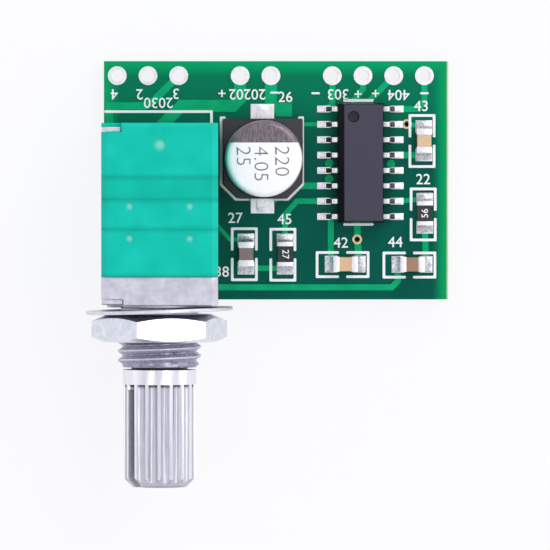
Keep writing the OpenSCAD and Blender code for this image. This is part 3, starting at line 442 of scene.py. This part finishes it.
def moulded_epoxy():
    """Filled epoxy: a matt grey top from the mould's spark-eroded face, and smooth sides and dimple in near
    black that is partly the bare epoxy's own black and partly painted shade, set by how far a face turns
    from the top and by the dimple's depth.
    """
    material, tree, shader, coordinates = start_finish("moulded_epoxy")
    facing = add_node(tree, "ShaderNodeSeparateXYZ", {"Vector": coordinates.outputs["Normal"]})
    level = add_node(tree, "ShaderNodeMapRange", {
        "Value": facing.outputs["Z"], "From Min": 0.85, "From Max": 0.99})
    place = add_node(tree, "ShaderNodeSeparateXYZ", {"Vector": coordinates.outputs["Object"]})
    raised = add_node(tree, "ShaderNodeMapRange", {
        "Value": place.outputs["Z"], "From Min": chip_high.z - dimple_depth, "From Max": chip_high.z,
        "To Min": 0.4, "To Max": 1.0})
    top = add_node(tree, "ShaderNodeMath", {0: level.outputs[0], 1: raised.outputs[0]}, operation="MULTIPLY")
    filler = add_node(tree, "ShaderNodeTexNoise", {
        "Vector": coordinates.outputs["Object"], "Scale": 1 / filler_size, "Detail": 4.0})
    blasted = add_node(tree, "ShaderNodeMix", {
        "Factor": filler.outputs["Fac"], 6: linear("#403e4b"), 7: linear("#4b4957")}, data_type="RGBA")
    # Painted shade, partly the epoxy's own black: faces turned from the top and the dimple's floor take near
    # black.
    colour = add_node(tree, "ShaderNodeMix", {
        "Factor": top.outputs[0], 6: linear("#060708"), 7: blasted.outputs[2]}, data_type="RGBA")
    gloss = add_node(tree, "ShaderNodeMapRange", {"Value": top.outputs[0], "To Min": 0.35, "To Max": 0.6})
    dents = add_node(tree, "ShaderNodeBump", {
        "Height": filler.outputs["Fac"], "Strength": 1.0, "Distance": 0.003 * MM})
    set_sockets(tree, shader, {
        "Base Color": colour.outputs[2], "Roughness": gloss.outputs[0], "Normal": dents.outputs[0],
        "IOR": 1.55, "Specular IOR Level": 0.12})
    return material


softened("chip_body", "chip_body_moulding", moulded_epoxy(), chip_edge)
# Plated tin: silvery white, with soft reflections.
lead_tin = grained("tin_plated_leads", "#e2e3e6", "#f7f8f9", 0.2 * MM, 0.28, metallic=1.0, dent=0.003 * MM)
# Tin on the sloping faces of the bends, painted dark grey as shade.
bend_shade_tin = grained("tin_painted_shade_at_bends", "#3f3f46", "#66666e", 0.2 * MM, 0.3, metallic=1.0,
                   dent=0.003 * MM)
leads = softened("chip_leads", "chip_lead_frame", lead_tin, lead_edge)
leads.data.materials.append(bend_shade_tin)
# The sloping faces of the bends take the tin painted dark as shade.
for face in leads.data.polygons:
    reach = abs(face.center.x - chip_x)
    if bend_from < reach < bend_to and 0 < face.normal.z < level_face and abs(face.normal.y) < side_face:
        face.material_index = 1
softened("chip_solder", "chip_solder_fillets", tinned, fillet_edge)

# Supply capacitor
# Aluminium can, deep drawn, rolled in at its neck over a rubber seal and pressed into a black moulded base
# with two cut corners. Grey ink on its top marks the negative side, with plain numbers beside it.
can_low, can_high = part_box("capacitor_can")
can_middle = (can_low + can_high) / 2
can_top = Vector((can_middle.x, can_middle.y, can_high.z))
can_r = (can_high.x - can_low.x) / 2
base_edge = 0.08 * MM
foot_cut = 0.1 * MM
neck_low = board_high.z + 1.7 * MM
neck_h = 0.5 * MM
neck_depth = 0.3 * MM
rim_r = 0.5 * MM
rim_z = can_high.z - rim_r
arc_steps = 8
can_steps = 96
draw_line = 0.3 * MM
print_t = 0.012 * MM
chord = 1.32 * MM
skirt_z = rim_z - 0.25 * MM
can_digit_h = 1.2 * MM
can_digit_stroke = -0.03 * MM
strip_edge = 0.03 * MM
# Nylon filled with glass: black, with a slight haze from the fibres.
base_plastic = grained("glass_filled_nylon", "#1d1c20", "#2b2a2f", 0.1 * MM, 0.45, dent=0.003 * MM, IOR=1.53)
softened("capacitor_base", "capacitor_base_moulding", base_plastic, base_edge)
neck = []
rolled_rim = []
for k in range(arc_steps + 1):
    share = k / arc_steps
    neck.append((can_r - neck_depth * math.sin(math.pi * share), neck_low + neck_h * share))
    swing = math.pi / 2 * share
    rolled_rim.append((can_r - rim_r + rim_r * math.cos(swing), rim_z + rim_r * math.sin(swing)))
can_profile = [(0, can_low.z), (can_r - foot_cut, can_low.z), (can_r, can_low.z + foot_cut)]
can_profile += neck + rolled_rim + [(0, can_high.z)]


def drawn_aluminium():
    """Bright metal with fine upright draw lines on its side, and an etched, satin white top that scatters
    light like paper."""
    material, tree, shader, coordinates = start_finish("drawn_aluminium")
    facing = add_node(tree, "ShaderNodeSeparateXYZ", {"Vector": coordinates.outputs["Normal"]})
    top = add_node(tree, "ShaderNodeMapRange", {
        "Value": facing.outputs["Z"], "From Min": 0.45, "From Max": 0.95}, interpolation_type="SMOOTHSTEP")
    upright = add_node(tree, "ShaderNodeMapping", {
        "Vector": coordinates.outputs["Object"], "Scale": (1, 1, 0.1)})
    drawn = add_node(tree, "ShaderNodeTexNoise", {
        "Vector": upright.outputs[0], "Scale": 1 / draw_line, "Detail": 4.0})
    colour = add_node(tree, "ShaderNodeMix", {
        "Factor": drawn.outputs["Fac"], 6: linear("#f3f1f5"), 7: linear("#fdfcfe")}, data_type="RGBA")
    metal = add_node(tree, "ShaderNodeMapRange", {"Value": top.outputs[0], "To Min": 0.95, "To Max": 0.12})
    gloss = add_node(tree, "ShaderNodeMapRange", {"Value": top.outputs[0], "To Min": 0.28, "To Max": 0.45})
    dents = add_node(tree, "ShaderNodeBump", {
        "Height": drawn.outputs["Fac"], "Strength": 1.0, "Distance": 0.002 * MM})
    set_sockets(tree, shader, {
        "Base Color": colour.outputs[2], "Metallic": metal.outputs[0], "Roughness": gloss.outputs[0],
        "Normal": dents.outputs[0]})
    return material


def sliced(shape, place, normal):
    """Cuts away what lies beyond a plane, and gives the edges of the cut."""
    cut = bmesh.ops.bisect_plane(shape, geom=shape.verts[:] + shape.edges[:] + shape.faces[:], plane_co=place,
                                 plane_no=normal, clear_outer=True)
    return [e for e in cut["geom_cut"] if isinstance(e, bmesh.types.BMEdge)]


can_shape = spun(can_profile, (can_middle.x, can_middle.y, 0), can_steps)
can = piece(can_shape, "capacitor_can_drawn", drawn_aluminium())
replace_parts(can, "capacitor_can")
ink_skin = [(r + print_t, z) for r, z in [(can_r, skirt_z)] + rolled_rim]
ink_skin = [(r, z + print_t * (z > rim_z)) for r, z in ink_skin] + [(0, can_high.z + print_t)]
polarity = spun(ink_skin + [(0, skirt_z), ink_skin[0]], (0, 0, 0), can_steps)
bmesh.ops.holes_fill(polarity, edges=sliced(polarity, (0, chord, 0), (0, -1, 0)), sides=0)
bmesh.ops.translate(polarity, vec=(can_middle.x, can_middle.y, 0), verts=polarity.verts)
# Thin ink on bright metal: grey brown, and the metal shines through in streaks.
polarity_ink = grained("grey_brown_can_ink", "#63575f", "#8d8089", 0.16 * MM, 0.28, metallic=0.5,
                       dent=0.002 * MM, stretch=(1, 0.3, 1), IOR=1.5)
piece(polarity, "capacitor_polarity_mark", polarity_ink)
can_print = bmesh.new()
for text, x, y in (("220", 1.4, -0.2), ("4.05", -0.3, -0.45), ("25", -1.75, 0.2)):
    digits = figures(text, can_digit_h, can_digit_stroke)
    stamp(digits, can_print, print_t, can_top + Vector((x, y, 0)) * MM, -90)
# The same ink in thin strokes on the satin top: plain dull grey.
can_ink = grained("grey_can_ink", "#5d545c", "#786e77", 0.4 * MM, 0.45, IOR=1.5)
piece(can_print, "capacitor_print", can_ink)
softened("capacitor_terminals", "capacitor_terminal_strips", lead_tin, strip_edge)
softened("capacitor_solder", "capacitor_solder_fillets", tinned, fillet_edge)

# Chip parts
# Four fired ceramic blocks and two white alumina blocks with a black glazed top, each with tin-plated ends
# that wrap its faces. Solder climbs the ends from tinned pads.
ceramics = {
    "input_capacitor": ("mauve_ceramic", "#7a6260", "#8f7674"),
    "bypass_capacitor": ("orange_ceramic", "#cfa678", "#dfbd98"),
    "filter_capacitor": ("tan_ceramic", "#d0aa84", "#e0c3a4"),
    "output_capacitor": ("brown_ceramic", "#916a50", "#a98267"),
}
block_edge = 0.05 * MM
capacitor_end_r = 0.07 * MM
resistor_end_r = 0.06 * MM
end_arc = 3
pad_edge = 0.05 * MM
code_h = 0.55 * MM
code_stroke = 0.005 * MM
# Tin over fired silver: a bright, slightly lumpy coat.
end_tin = grained("tin_plated_ends", "#e6e6e9", "#fafafb", 0.25 * MM, 0.38, metallic=0.75, dent=0.006 * MM)
for node, (slot, first, second) in ceramics.items():
    # Fired ceramic: matt and finely specked, in the tint of its own mix.
    fired = grained("fired_" + slot, first, second, 0.15 * MM, 0.5, dent=0.003 * MM, IOR=1.6)
    softened(node, node + "_block", fired, block_edge)
    softened(node + "_ends", node + "_end_caps", end_tin, capacitor_end_r, end_arc)
# Sintered alumina: chalk white and matt.
alumina = grained("sintered_alumina", "#dedbd2", "#f1efe8", 0.12 * MM, 0.6, IOR=1.76)
# Glass coat over the resistor film: black and softly glossy.
glaze = grained("black_resistor_glaze", "#1c1e22", "#2b2e33", 0.3 * MM, 0.3, IOR=1.5)
resistor_print = bmesh.new()
for node, text, turn in (("input_resistor", "27", -90), ("gain_resistor", "56", 90)):
    dress(alumina, node)
    dress(glaze, node + "_coat")
    softened(node + "_ends", node + "_end_caps", end_tin, resistor_end_r, end_arc)
    low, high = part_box(node + "_coat")
    coat_top = Vector(((low.x + high.x) / 2, (low.y + high.y) / 2, high.z))
    stamp(figures(text, code_h, code_stroke), resistor_print, print_t, coat_top, turn)
piece(resistor_print, "resistor_print", white_ink)
softened("chip_part_solder", "chip_part_solder_fillets", solder, pad_edge)

# Potentiometer housings
# Four turquoise mouldings stacked behind the casting: two resistor chambers, a divider and a switch chamber,
# with draughted top edges, ejector-pin dents on top and a channel along each side for the straps.
front_low, front_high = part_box("front_housing")
centre_low, centre_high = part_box("centre_housing")
switch_low, switch_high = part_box("switch_housing")
housing_x = (front_low.x + front_high.x) / 2
housing_edge = 0.02 * MM
shortest_edge = 0.3 * MM
pin_side = 2.45 * MM
pin_r = 0.35 * MM
switch_pin_r = 0.55 * MM
pin_fade = 1.25
pin_marks = [(housing_x + side * pin_side, y, pin_r) for side in (-1, 1)
             for y in (front_low.y + 3.1 * MM, centre_low.y + 1.85 * MM)]
pin_marks.append((housing_x, switch_high.y - 1.8 * MM, switch_pin_r))
seams = [front_low.y, front_high.y, centre_high.y, switch_low.y]
seam_shade_w = 0.42 * MM
flow_size = 2.2 * MM


def moulded_turquoise(name, first, second):
    """Smooth turquoise plastic, paler where the mould's ejector pins have stressed it, and with painted shade
    in a soft, deeper band along the seams, where two thin edges meet."""
    material, tree, shader, coordinates = start_finish(name)
    flow = add_node(tree, "ShaderNodeTexNoise", {
        "Vector": coordinates.outputs["Object"], "Scale": 1 / flow_size, "Detail": 3.0})
    spread = add_node(tree, "ShaderNodeMapRange", {
        "Value": flow.outputs["Fac"], "From Min": 0.3, "From Max": 0.7})
    plain = add_node(tree, "ShaderNodeMix", {
        "Factor": spread.outputs[0], 6: linear(first), 7: linear(second)}, data_type="RGBA")
    level = add_node(tree, "ShaderNodeVectorMath", {
        0: coordinates.outputs["Object"], 1: (1, 1, 0)}, operation="MULTIPLY")
    blush = None
    for x, y, r in pin_marks:
        away = add_node(tree, "ShaderNodeVectorMath", {
            0: level.outputs[0], 1: (x, y, 0)}, operation="DISTANCE")
        spot = add_node(tree, "ShaderNodeMapRange", {
            "Value": away.outputs["Value"], "From Min": 0.0, "From Max": pin_fade * r,
            "To Min": 0.36, "To Max": 0.0,
        }, interpolation_type="SMOOTHSTEP").outputs[0]
        blush = spot if blush is None else add_node(
            tree, "ShaderNodeMath", {0: blush, 1: spot}, operation="MAXIMUM").outputs[0]
    along = add_node(tree, "ShaderNodeSeparateXYZ", {"Vector": coordinates.outputs["Object"]})
    deep = plain.outputs[2]
    # Painted shade: a darker turquoise band along each seam.
    for y in seams:
        away = add_node(tree, "ShaderNodeMath", {0: along.outputs["Y"], 1: y}, operation="SUBTRACT")
        away = add_node(tree, "ShaderNodeMath", {0: away.outputs[0]}, operation="ABSOLUTE")
        band = add_node(tree, "ShaderNodeMapRange", {
            "Value": away.outputs[0], "From Min": 0.0, "From Max": seam_shade_w, "To Min": 0.5, "To Max": 0.0,
        }, interpolation_type="SMOOTHSTEP")
        deep = add_node(tree, "ShaderNodeMix", {
            "Factor": band.outputs[0], 6: deep, 7: linear("#009a87")}, data_type="RGBA").outputs[2]
    colour = add_node(tree, "ShaderNodeMix", {
        "Factor": blush, 6: deep, 7: linear("#b9f2e8")}, data_type="RGBA")
    gloss = add_node(tree, "ShaderNodeMapRange", {"Value": spread.outputs[0], "To Min": 0.3, "To Max": 0.4})
    dents = add_node(tree, "ShaderNodeBump", {
        "Height": flow.outputs["Fac"], "Strength": 1.0, "Distance": 0.006 * MM})
    set_sockets(tree, shader, {
        "Base Color": colour.outputs[2], "Roughness": gloss.outputs[0], "Normal": dents.outputs[0],
        "IOR": 1.5, "Specular IOR Level": 0.12})
    return material


turquoise = moulded_turquoise("moulded_turquoise_plastic", "#00b8a2", "#0cc5af")
deep_turquoise = moulded_turquoise("deep_turquoise_plastic", "#00b19b", "#00bda6")
housings = [("front_housing", turquoise), ("centre_housing", turquoise), ("rear_housing", deep_turquoise),
            ("switch_housing", turquoise)]
for node, plastic in housings:
    softened(node, node + "_moulding", plastic, housing_edge, shortest=shortest_edge)

# Front casting
# Zinc die-casting: a block that closes the stack in front and carries the bush, whose outside is cut with a
# seven millimetre thread of 0.75 pitch. Its skin is left as it came from the die.
shaft_low, shaft_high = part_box("shaft")
nut_low, nut_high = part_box("nut")
axis_x = (shaft_low.x + shaft_high.x) / 2
axis_z = (nut_low.z + nut_high.z) / 2
casting_edge = 0.1 * MM
thread_r = 3.4 * MM
thread_pitch = 0.75 * MM
thread_depth = 0.36 * MM
root_flat = 0.08
crest_from = 0.41
crest_band_depth = 0.05 * MM
bore_r = 2.35 * MM
bush_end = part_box("front_casting")[0].y
thread_start = nut_low.y - 0.02 * MM
end_cut = 0.4 * MM
thread_steps = 64


def cut_off(shape, place, normal):
    """Cuts away what lies beyond a plane, and closes each ring that is left with the ring around it."""
    bmesh.ops.bridge_loops(shape, edges=sliced(shape, place, normal))


def threaded_tube():
    """The bush's free end: one pitch of thread profile turned and drawn along the axis, a bore inside it, and
    flat ends. The thread fades into a cone at its tip."""
    tube = bmesh.new()
    root_r = thread_r - thread_depth
    profile = ((root_r, 0), (root_r, root_flat), (thread_r, crest_from), (thread_r, 1 - crest_from),
               (root_r, 1 - root_flat), (root_r, 1))
    verts = [tube.verts.new((r, -share * thread_pitch, 0)) for r, share in profile]
    edges = [tube.edges.new(pair) for pair in zip(verts, verts[1:])]
    turns = math.ceil((thread_start - bush_end) / thread_pitch) + 2
    bmesh.ops.spin(tube, geom=verts + edges, cent=(0, 0, 0), axis=(0, -1, 0),
                   dvec=(0, -thread_pitch / thread_steps, 0), angle=math.tau * turns,
                   steps=thread_steps * turns)
    bmesh.ops.remove_doubles(tube, verts=tube.verts, dist=2 * weld)
    bmesh.ops.translate(tube, vec=(0, thread_start + thread_pitch, 0), verts=tube.verts)
    bore = [tube.verts.new((bore_r, y, 0)) for y in (thread_start + thread_pitch, bush_end - thread_pitch)]
    wall = tube.edges.new(bore)
    bmesh.ops.spin(tube, geom=bore + [wall], cent=(0, 0, 0), axis=(0, 1, 0), angle=math.tau,
                   steps=thread_steps, use_merge=True)
    cut_off(tube, (0, thread_start, 0), (0, 1, 0))
    cut_off(tube, (0, bush_end, 0), (0, -1, 0))
    for v in tube.verts:
        reach = math.hypot(v.co.x, v.co.z)
        limit = thread_r - end_cut + max(0, v.co.y - bush_end)
        if reach > limit:
            v.co.x *= limit / reach
            v.co.z *= limit / reach
    bmesh.ops.recalc_face_normals(tube, faces=tube.faces)
    # Faces below the crests take the cut zinc with its painted groove shade; the crests keep the lighter
    # skin.
    for face in tube.faces:
        middle = face.calc_center_median()
        face.material_index = int(math.hypot(middle.x, middle.z) < thread_r - crest_band_depth)
    bmesh.ops.translate(tube, vec=(axis_x, 0, axis_z), verts=tube.verts)
    return tube


# Zinc with its casting skin: pale grey and satin, with soft flow marks.
zinc = grained("as_cast_zinc", "#bfbecb", "#dad9e3", 0.9 * MM, 0.42, metallic=0.9, dent=0.012 * MM)
# Zinc cut with a thread die: shinier than the skin, with fine tears, and painted darker as the shade in the
# thread's grooves.
cut_zinc_groove_shade = grained("thread_cut_zinc", "#7f7f93", "#a8a8ba", 0.3 * MM, 0.28, metallic=0.95, dent=0.008 * MM)
block = node_copy("front_casting")
bmesh.ops.dissolve_limit(block, angle_limit=flat_corner, verts=block.verts, edges=block.edges)
cut_off(block, (0, thread_start, 0), (0, -1, 0))
round_edges(block, sharp_edges(block), casting_edge, segments=3)
tube_mesh = bpy.data.meshes.new("tube")
threaded = threaded_tube()
threaded.to_mesh(tube_mesh)
threaded.free()
block.from_mesh(tube_mesh)
bpy.data.meshes.remove(tube_mesh)
casting = piece(block, "front_casting_threaded", zinc)
casting.data.materials.append(cut_zinc_groove_shade)
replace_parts(casting, "front_casting")

# Steel straps
# Two strips of tinned steel along the sides of the stack, folded over the casting in front and over the last
# housing behind, which clamp the housings together. The tin is bright and faintly uneven.
strap_edge = 0.06 * MM
strap_steel = grained("tinned_strip_steel", "#d8d8de", "#f4f4f7", 0.6 * MM, 0.3, metallic=1.0,
                      dent=0.004 * MM)
for node in ("left_strap", "right_strap"):
    softened(node, node + "_strip", strap_steel, strap_edge)

# Elements, rotors and terminals
# Inside the housings: paper-based discs with a printed resistance track and flat tinned terminals, and on the
# shaft's stem white moulded rotors, each with a brass wiper plate.

# Paper pressed with resin: brown and matt, with a fibrous mottle.
hard_paper = grained("resin_bonded_paper", "#573a23", "#74512f", 0.4 * MM, 0.55, dent=0.004 * MM, IOR=1.5)
# Acetal: milky white and a little waxy.
rotor_plastic = grained("moulded_acetal", "#dedcd3", "#efede6", 0.8 * MM, 0.4, IOR=1.48)
# Rolled brass: yellow and shiny.
brass = grained("spring_brass", "#c79f45", "#e0bd6a", 0.5 * MM, 0.3, metallic=1.0)
dress(hard_paper, "front_element", "rear_element", "switch_plate")
dress(lead_tin, "front_terminals", "rear_terminals", "switch_terminals")
dress(rotor_plastic, "front_rotor", "rear_rotor", "switch_rotor")
dress(brass, "front_wiper", "rear_wiper", "switch_wiper")

# Shaft
# Turned from drawn metal rod, with a plain collar, eighteen rolled teeth for a push-on knob, a sawn slot that
# lets the tip spring and a clip that keeps it in the casting. Where it runs into the bush, its grease is
# painted near black as the shade in the gap.
shaft_r = 3.0 * MM
collar_r = 2.97 * MM
collar_join = 0.035 * MM
journal_y = bush_end - 0.2 * MM
collar_y = journal_y - 1.2 * MM
shortest_tooth = 2 * MM
crest_band = 0.06 * MM
crest_round = 0.08 * MM
crest_highlight_from = shaft_r - 0.2 * MM
crest_highlight_to = shaft_r - 0.04 * MM
collar_shade_from = collar_y - 0.35 * MM
collar_shade_to = collar_y - 0.05 * MM
streak_w = 0.25 * MM
slot_turn = math.radians(51)
slot_normal = Vector((math.cos(slot_turn), 0, math.sin(slot_turn)))
slot_half = 0.42 * MM
slot_facing = 0.95
same_r = 0.004 * MM
same_y = 0.01 * MM


def off_axis(place):
    """A point's distance from the shaft's axis."""
    return math.hypot(place.x - axis_x, place.z - axis_z)


def rolled_nickel():
    """Nickel plate with a painted highlight on the crests and the collar, painted shade that greys the rolled
    grooves, and a darker painted shade where the grooves run out at the collar."""
    material, tree, shader, coordinates = start_finish("rolled_nickel")
    place = add_node(tree, "ShaderNodeSeparateXYZ", {"Vector": coordinates.outputs["Object"]})
    out = add_node(tree, "ShaderNodeVectorMath", {
        0: coordinates.outputs["Object"], 1: (axis_x, 0, axis_z)}, operation="SUBTRACT")
    out = add_node(tree, "ShaderNodeVectorMath", {0: out.outputs[0], 1: (1, 0, 1)}, operation="MULTIPLY")
    reach = add_node(tree, "ShaderNodeVectorMath", {0: out.outputs[0]}, operation="LENGTH")
    # Painted highlight on the crests and the collar, and painted shade in the grooves, by distance from the
    # axis.
    crest = add_node(tree, "ShaderNodeMapRange", {
        "Value": reach.outputs["Value"], "From Min": crest_highlight_from, "From Max": crest_highlight_to,
    }, interpolation_type="SMOOTHSTEP")
    # Painted shade: the grooves darken where they run out at the collar.
    collar_shade = add_node(tree, "ShaderNodeMapRange", {
        "Value": place.outputs["Y"], "From Min": collar_shade_from, "From Max": collar_shade_to,
    }, interpolation_type="SMOOTHSTEP")
    lengthwise = add_node(tree, "ShaderNodeMapping", {
        "Vector": coordinates.outputs["Object"], "Scale": (1, 0.15, 1)})
    streak = add_node(tree, "ShaderNodeTexNoise", {
        "Vector": lengthwise.outputs[0], "Scale": 1 / streak_w, "Detail": 4.0, "Roughness": 0.6})
    groove_shade = add_node(tree, "ShaderNodeMix", {
        "Factor": streak.outputs["Fac"], 6: linear("#aeaebb"), 7: linear("#d6d6df")}, data_type="RGBA")
    groove_shade = add_node(tree, "ShaderNodeMix", {
        "Factor": collar_shade.outputs[0], 6: groove_shade.outputs[2], 7: linear("#4a4954")}, data_type="RGBA")
    crest_highlight = add_node(tree, "ShaderNodeMix", {
        "Factor": streak.outputs["Fac"], 6: linear("#dddce4"), 7: linear("#f7f7fa")}, data_type="RGBA")
    colour = add_node(tree, "ShaderNodeMix", {
        "Factor": crest.outputs[0], 6: groove_shade.outputs[2], 7: crest_highlight.outputs[2]}, data_type="RGBA")
    gloss = add_node(tree, "ShaderNodeMapRange", {"Value": crest.outputs[0], "To Min": 0.36, "To Max": 0.32})
    dents = add_node(tree, "ShaderNodeBump", {
        "Height": streak.outputs["Fac"], "Strength": 1.0, "Distance": 0.004 * MM})
    set_sockets(tree, shader, {
        "Base Color": colour.outputs[2], "Metallic": 1.0, "Roughness": gloss.outputs[0],
        "Normal": dents.outputs[0]})
    return material


# The collar's small step would hold back the rounding of the crests, so the collar is drawn out to them.
rod = node_copy("shaft")
for v in rod.verts:
    reach = off_axis(v.co)
    if abs(reach - collar_r) < same_r and v.co.y > collar_y - same_y:
        v.co.x = axis_x + (v.co.x - axis_x) * shaft_r / reach
        v.co.z = axis_z + (v.co.z - axis_z) * shaft_r / reach
bmesh.ops.remove_doubles(rod, verts=rod.verts, dist=collar_join)
bmesh.ops.dissolve_limit(rod, angle_limit=flat_corner, verts=rod.verts, edges=rod.edges, delimit={"NORMAL"})
crests = [e for e in sharp_edges(rod) if e.calc_length() > shortest_tooth
          and min(off_axis(v.co) for v in e.verts) > shaft_r - crest_band]
round_edges(rod, crests, crest_round, segments=4)
toothed = piece(rod, "shaft_toothed", rolled_nickel(), "shaft_assembly")
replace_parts(toothed, "shaft")
for edge in toothed.data.edges:
    ends = [toothed.data.vertices[k].co.y for k in edge.vertices]
    edge.use_edge_sharp = edge.use_edge_sharp or max(abs(y - collar_y) for y in ends) < same_y
# Bare metal from the saw: matt grey, with no plate to mirror the room.
sawn_metal = grained("sawn_shaft_metal", "#a4a4af", "#c2c2cb", 0.15 * MM, 0.55, metallic=0.1, dent=0.006 * MM)
# Thick grease, painted almost black as the shade in the gap at the bush, with a soft shine.
grease_and_gap_shade = grained("damping_grease", "#1f1e22", "#2d2c31", 0.3 * MM, 0.4, IOR=1.47)
toothed.data.materials.append(sawn_metal)
toothed.data.materials.append(grease_and_gap_shade)
# Faces at and inside the bush take the grease painted as gap shade; the slot's walls take the sawn metal.
for face in toothed.data.polygons:
    reach = (face.center - Vector((axis_x, 0, axis_z))).dot(slot_normal)
    if face.center.y > journal_y - same_y:
        face.material_index = 2
    elif abs(reach) < slot_half and abs(face.normal.dot(slot_normal)) > slot_facing:
        face.material_index = 1
# Hardened strip: a darker grey metal than the plated pieces.
spring_steel = grained("spring_steel", "#6f7178", "#8d9096", 0.4 * MM, 0.35, metallic=1.0)
dress(spring_steel, "retaining_ring")

# Washer and nut
# Stamped washer and hexagon nut in nickel-plated steel, run up the bush against the casting's boss. The nut's
# corners are turned off less in front than behind, so its chamfer is drawn shallower there.
washer_edge = 0.05 * MM
nut_round = 0.07 * MM
nut_edge = 0.08 * MM
nut_middle_y = (nut_low.y + nut_high.y) / 2
chamfer_r = 4.85 * MM
chamfer_share = 0.5
# Bright nickel over turned steel: a cool, clear mirror with slight waves.
nickel = grained("nickel_plated_steel", "#cdd1dd", "#e6e9f0", 0.7 * MM, 0.22, metallic=1.0, dent=0.002 * MM)
# Nickel on tumbled blanks: the same metal, satin all over.
tumbled = grained("tumbled_nickel", "#cfced9", "#e6e5ee", 0.5 * MM, 0.42, metallic=0.9, dent=0.003 * MM)
softened("washer", "washer_stamped", tumbled, washer_edge)
nut = softened("nut", "nut_hexagon", nickel, nut_round, segments=3)
for v in nut.data.vertices:
    depth = v.co.y - nut_low.y
    if off_axis(v.co) > chamfer_r and depth > nut_edge and v.co.y < nut_middle_y:
        v.co.y = nut_low.y + nut_edge + (depth - nut_edge) * chamfer_share
nut.data.update()

# Floor, light and camera
# A plain white sheet under the board, a wide soft lamp behind it to the right, four weaker lamps above and at
# the sides for the metal to mirror, and an even pale room. The camera looks almost straight down, from far.
floor_size = 3.0
floor_glow = 0.86
origin = Vector((0, 0, 0))
rearward = Vector((0, 1, 0))
sheet = bmesh.new()
bmesh.ops.create_grid(sheet, x_segments=1, y_segments=1, size=floor_size / 2)
floor_mesh = bpy.data.meshes.new("floor")
sheet.to_mesh(floor_mesh)
sheet.free()
floor = bpy.data.objects.new("floor", floor_mesh)
bpy.context.scene.collection.objects.link(floor)


def seen_white(tree):
    """1 for rays that come from the camera, a mirror or glass, and 0 for light that falls on the object."""
    path = add_node(tree, "ShaderNodeLightPath", {})
    seen = path.outputs["Is Camera Ray"]
    for name in ("Is Glossy Ray", "Is Transmission Ray"):
        seen = add_node(tree, "ShaderNodeMath", {
            0: seen, 1: path.outputs[name]}, operation="MAXIMUM").outputs[0]
    return seen


def white_paper():
    """Matt white paper that keeps a soft shadow, lit from within so that it shows as white."""
    material, tree, shader, _ = start_finish("white_paper")
    set_sockets(tree, shader, {"Base Color": linear("#f4f4f8"), "Roughness": 0.9, "Specular IOR Level": 0.0})
    glow = add_node(tree, "ShaderNodeEmission", {"Color": linear("#fdfdff"), "Strength": 1.0})
    share = add_node(tree, "ShaderNodeMath", {0: seen_white(tree), 1: floor_glow}, operation="MULTIPLY")
    mixed = add_node(tree, "ShaderNodeMixShader", {
        0: share.outputs[0], 1: shader.outputs[0], 2: glow.outputs[0]})
    tree.links.new(mixed.outputs[0], tree.nodes["Material Output"].inputs["Surface"])
    return material


floor_mesh.materials.append(white_paper())
world = bpy.data.worlds.new("studio")
bpy.context.scene.world = world
world.use_nodes = True
room = world.node_tree
direction = add_node(room, "ShaderNodeTexCoord", {})
height = add_node(room, "ShaderNodeSeparateXYZ", {"Vector": direction.outputs["Generated"]})
zenith = add_node(room, "ShaderNodeMapRange", {
    "Value": height.outputs["Z"], "From Min": 0.0, "From Max": 0.9}, interpolation_type="SMOOTHSTEP")
wall = add_node(room, "ShaderNodeMix", {
    "Factor": zenith.outputs[0], 6: linear("#ececf2"), 7: linear("#dcdce2")}, data_type="RGBA")
set_sockets(room, room.nodes["Background"], {"Color": wall.outputs[2], "Strength": 1.0})


def aim(thing, place, target, up):
    """Puts a lamp or a camera at a place, looking at a target, with one direction up in its view."""
    back = (place - target).normalized()
    right = up.cross(back).normalized()
    axes = Matrix((right, back.cross(right), back)).transposed().to_4x4()
    thing.matrix_world = Matrix.Translation(place) @ axes


# Each lamp has a name, a place and a size in metres, and a power in watts.
lamps = [
    ("rear_softbox", (0.34, 0.42, 0.42), (0.5, 0.4), 1.3),
    ("top_right_softbox", (0.2, -0.02, 0.5), (0.12, 0.4), 0.42),
    ("top_left_softbox", (-0.28, 0.0, 0.52), (0.09, 0.4), 0.2),
    ("left_softbox", (-0.6, 0.0, 0.14), (0.3, 0.4), 0.13),
    ("right_softbox", (0.6, 0.0, 0.14), (0.3, 0.4), 0.25)]
for lamp_name, lamp_place, lamp_size, lamp_power in lamps:
    lamp_data = bpy.data.lights.new(lamp_name, "AREA")
    lamp_data.shape = "RECTANGLE"
    lamp_data.size, lamp_data.size_y = lamp_size
    lamp_data.energy = lamp_power
    lamp = bpy.data.objects.new(lamp_name, lamp_data)
    bpy.context.scene.collection.objects.link(lamp)
    aim(lamp, Vector(lamp_place), origin, rearward)

camera_target = on_board(14.14, 2.02)
camera_away = Vector((-0.0126, 0.0094, 0.6))
camera_data = bpy.data.cameras.new("camera")
camera_data.sensor_width = 36.0
camera_data.lens = 475.0
camera_data.clip_end = 10.0
camera = bpy.data.objects.new("camera", camera_data)
bpy.context.scene.collection.objects.link(camera)
aim(camera, camera_target + camera_away, camera_target, rearward)
bpy.context.scene.camera = camera
bpy.context.scene.view_settings.view_transform = "Standard"
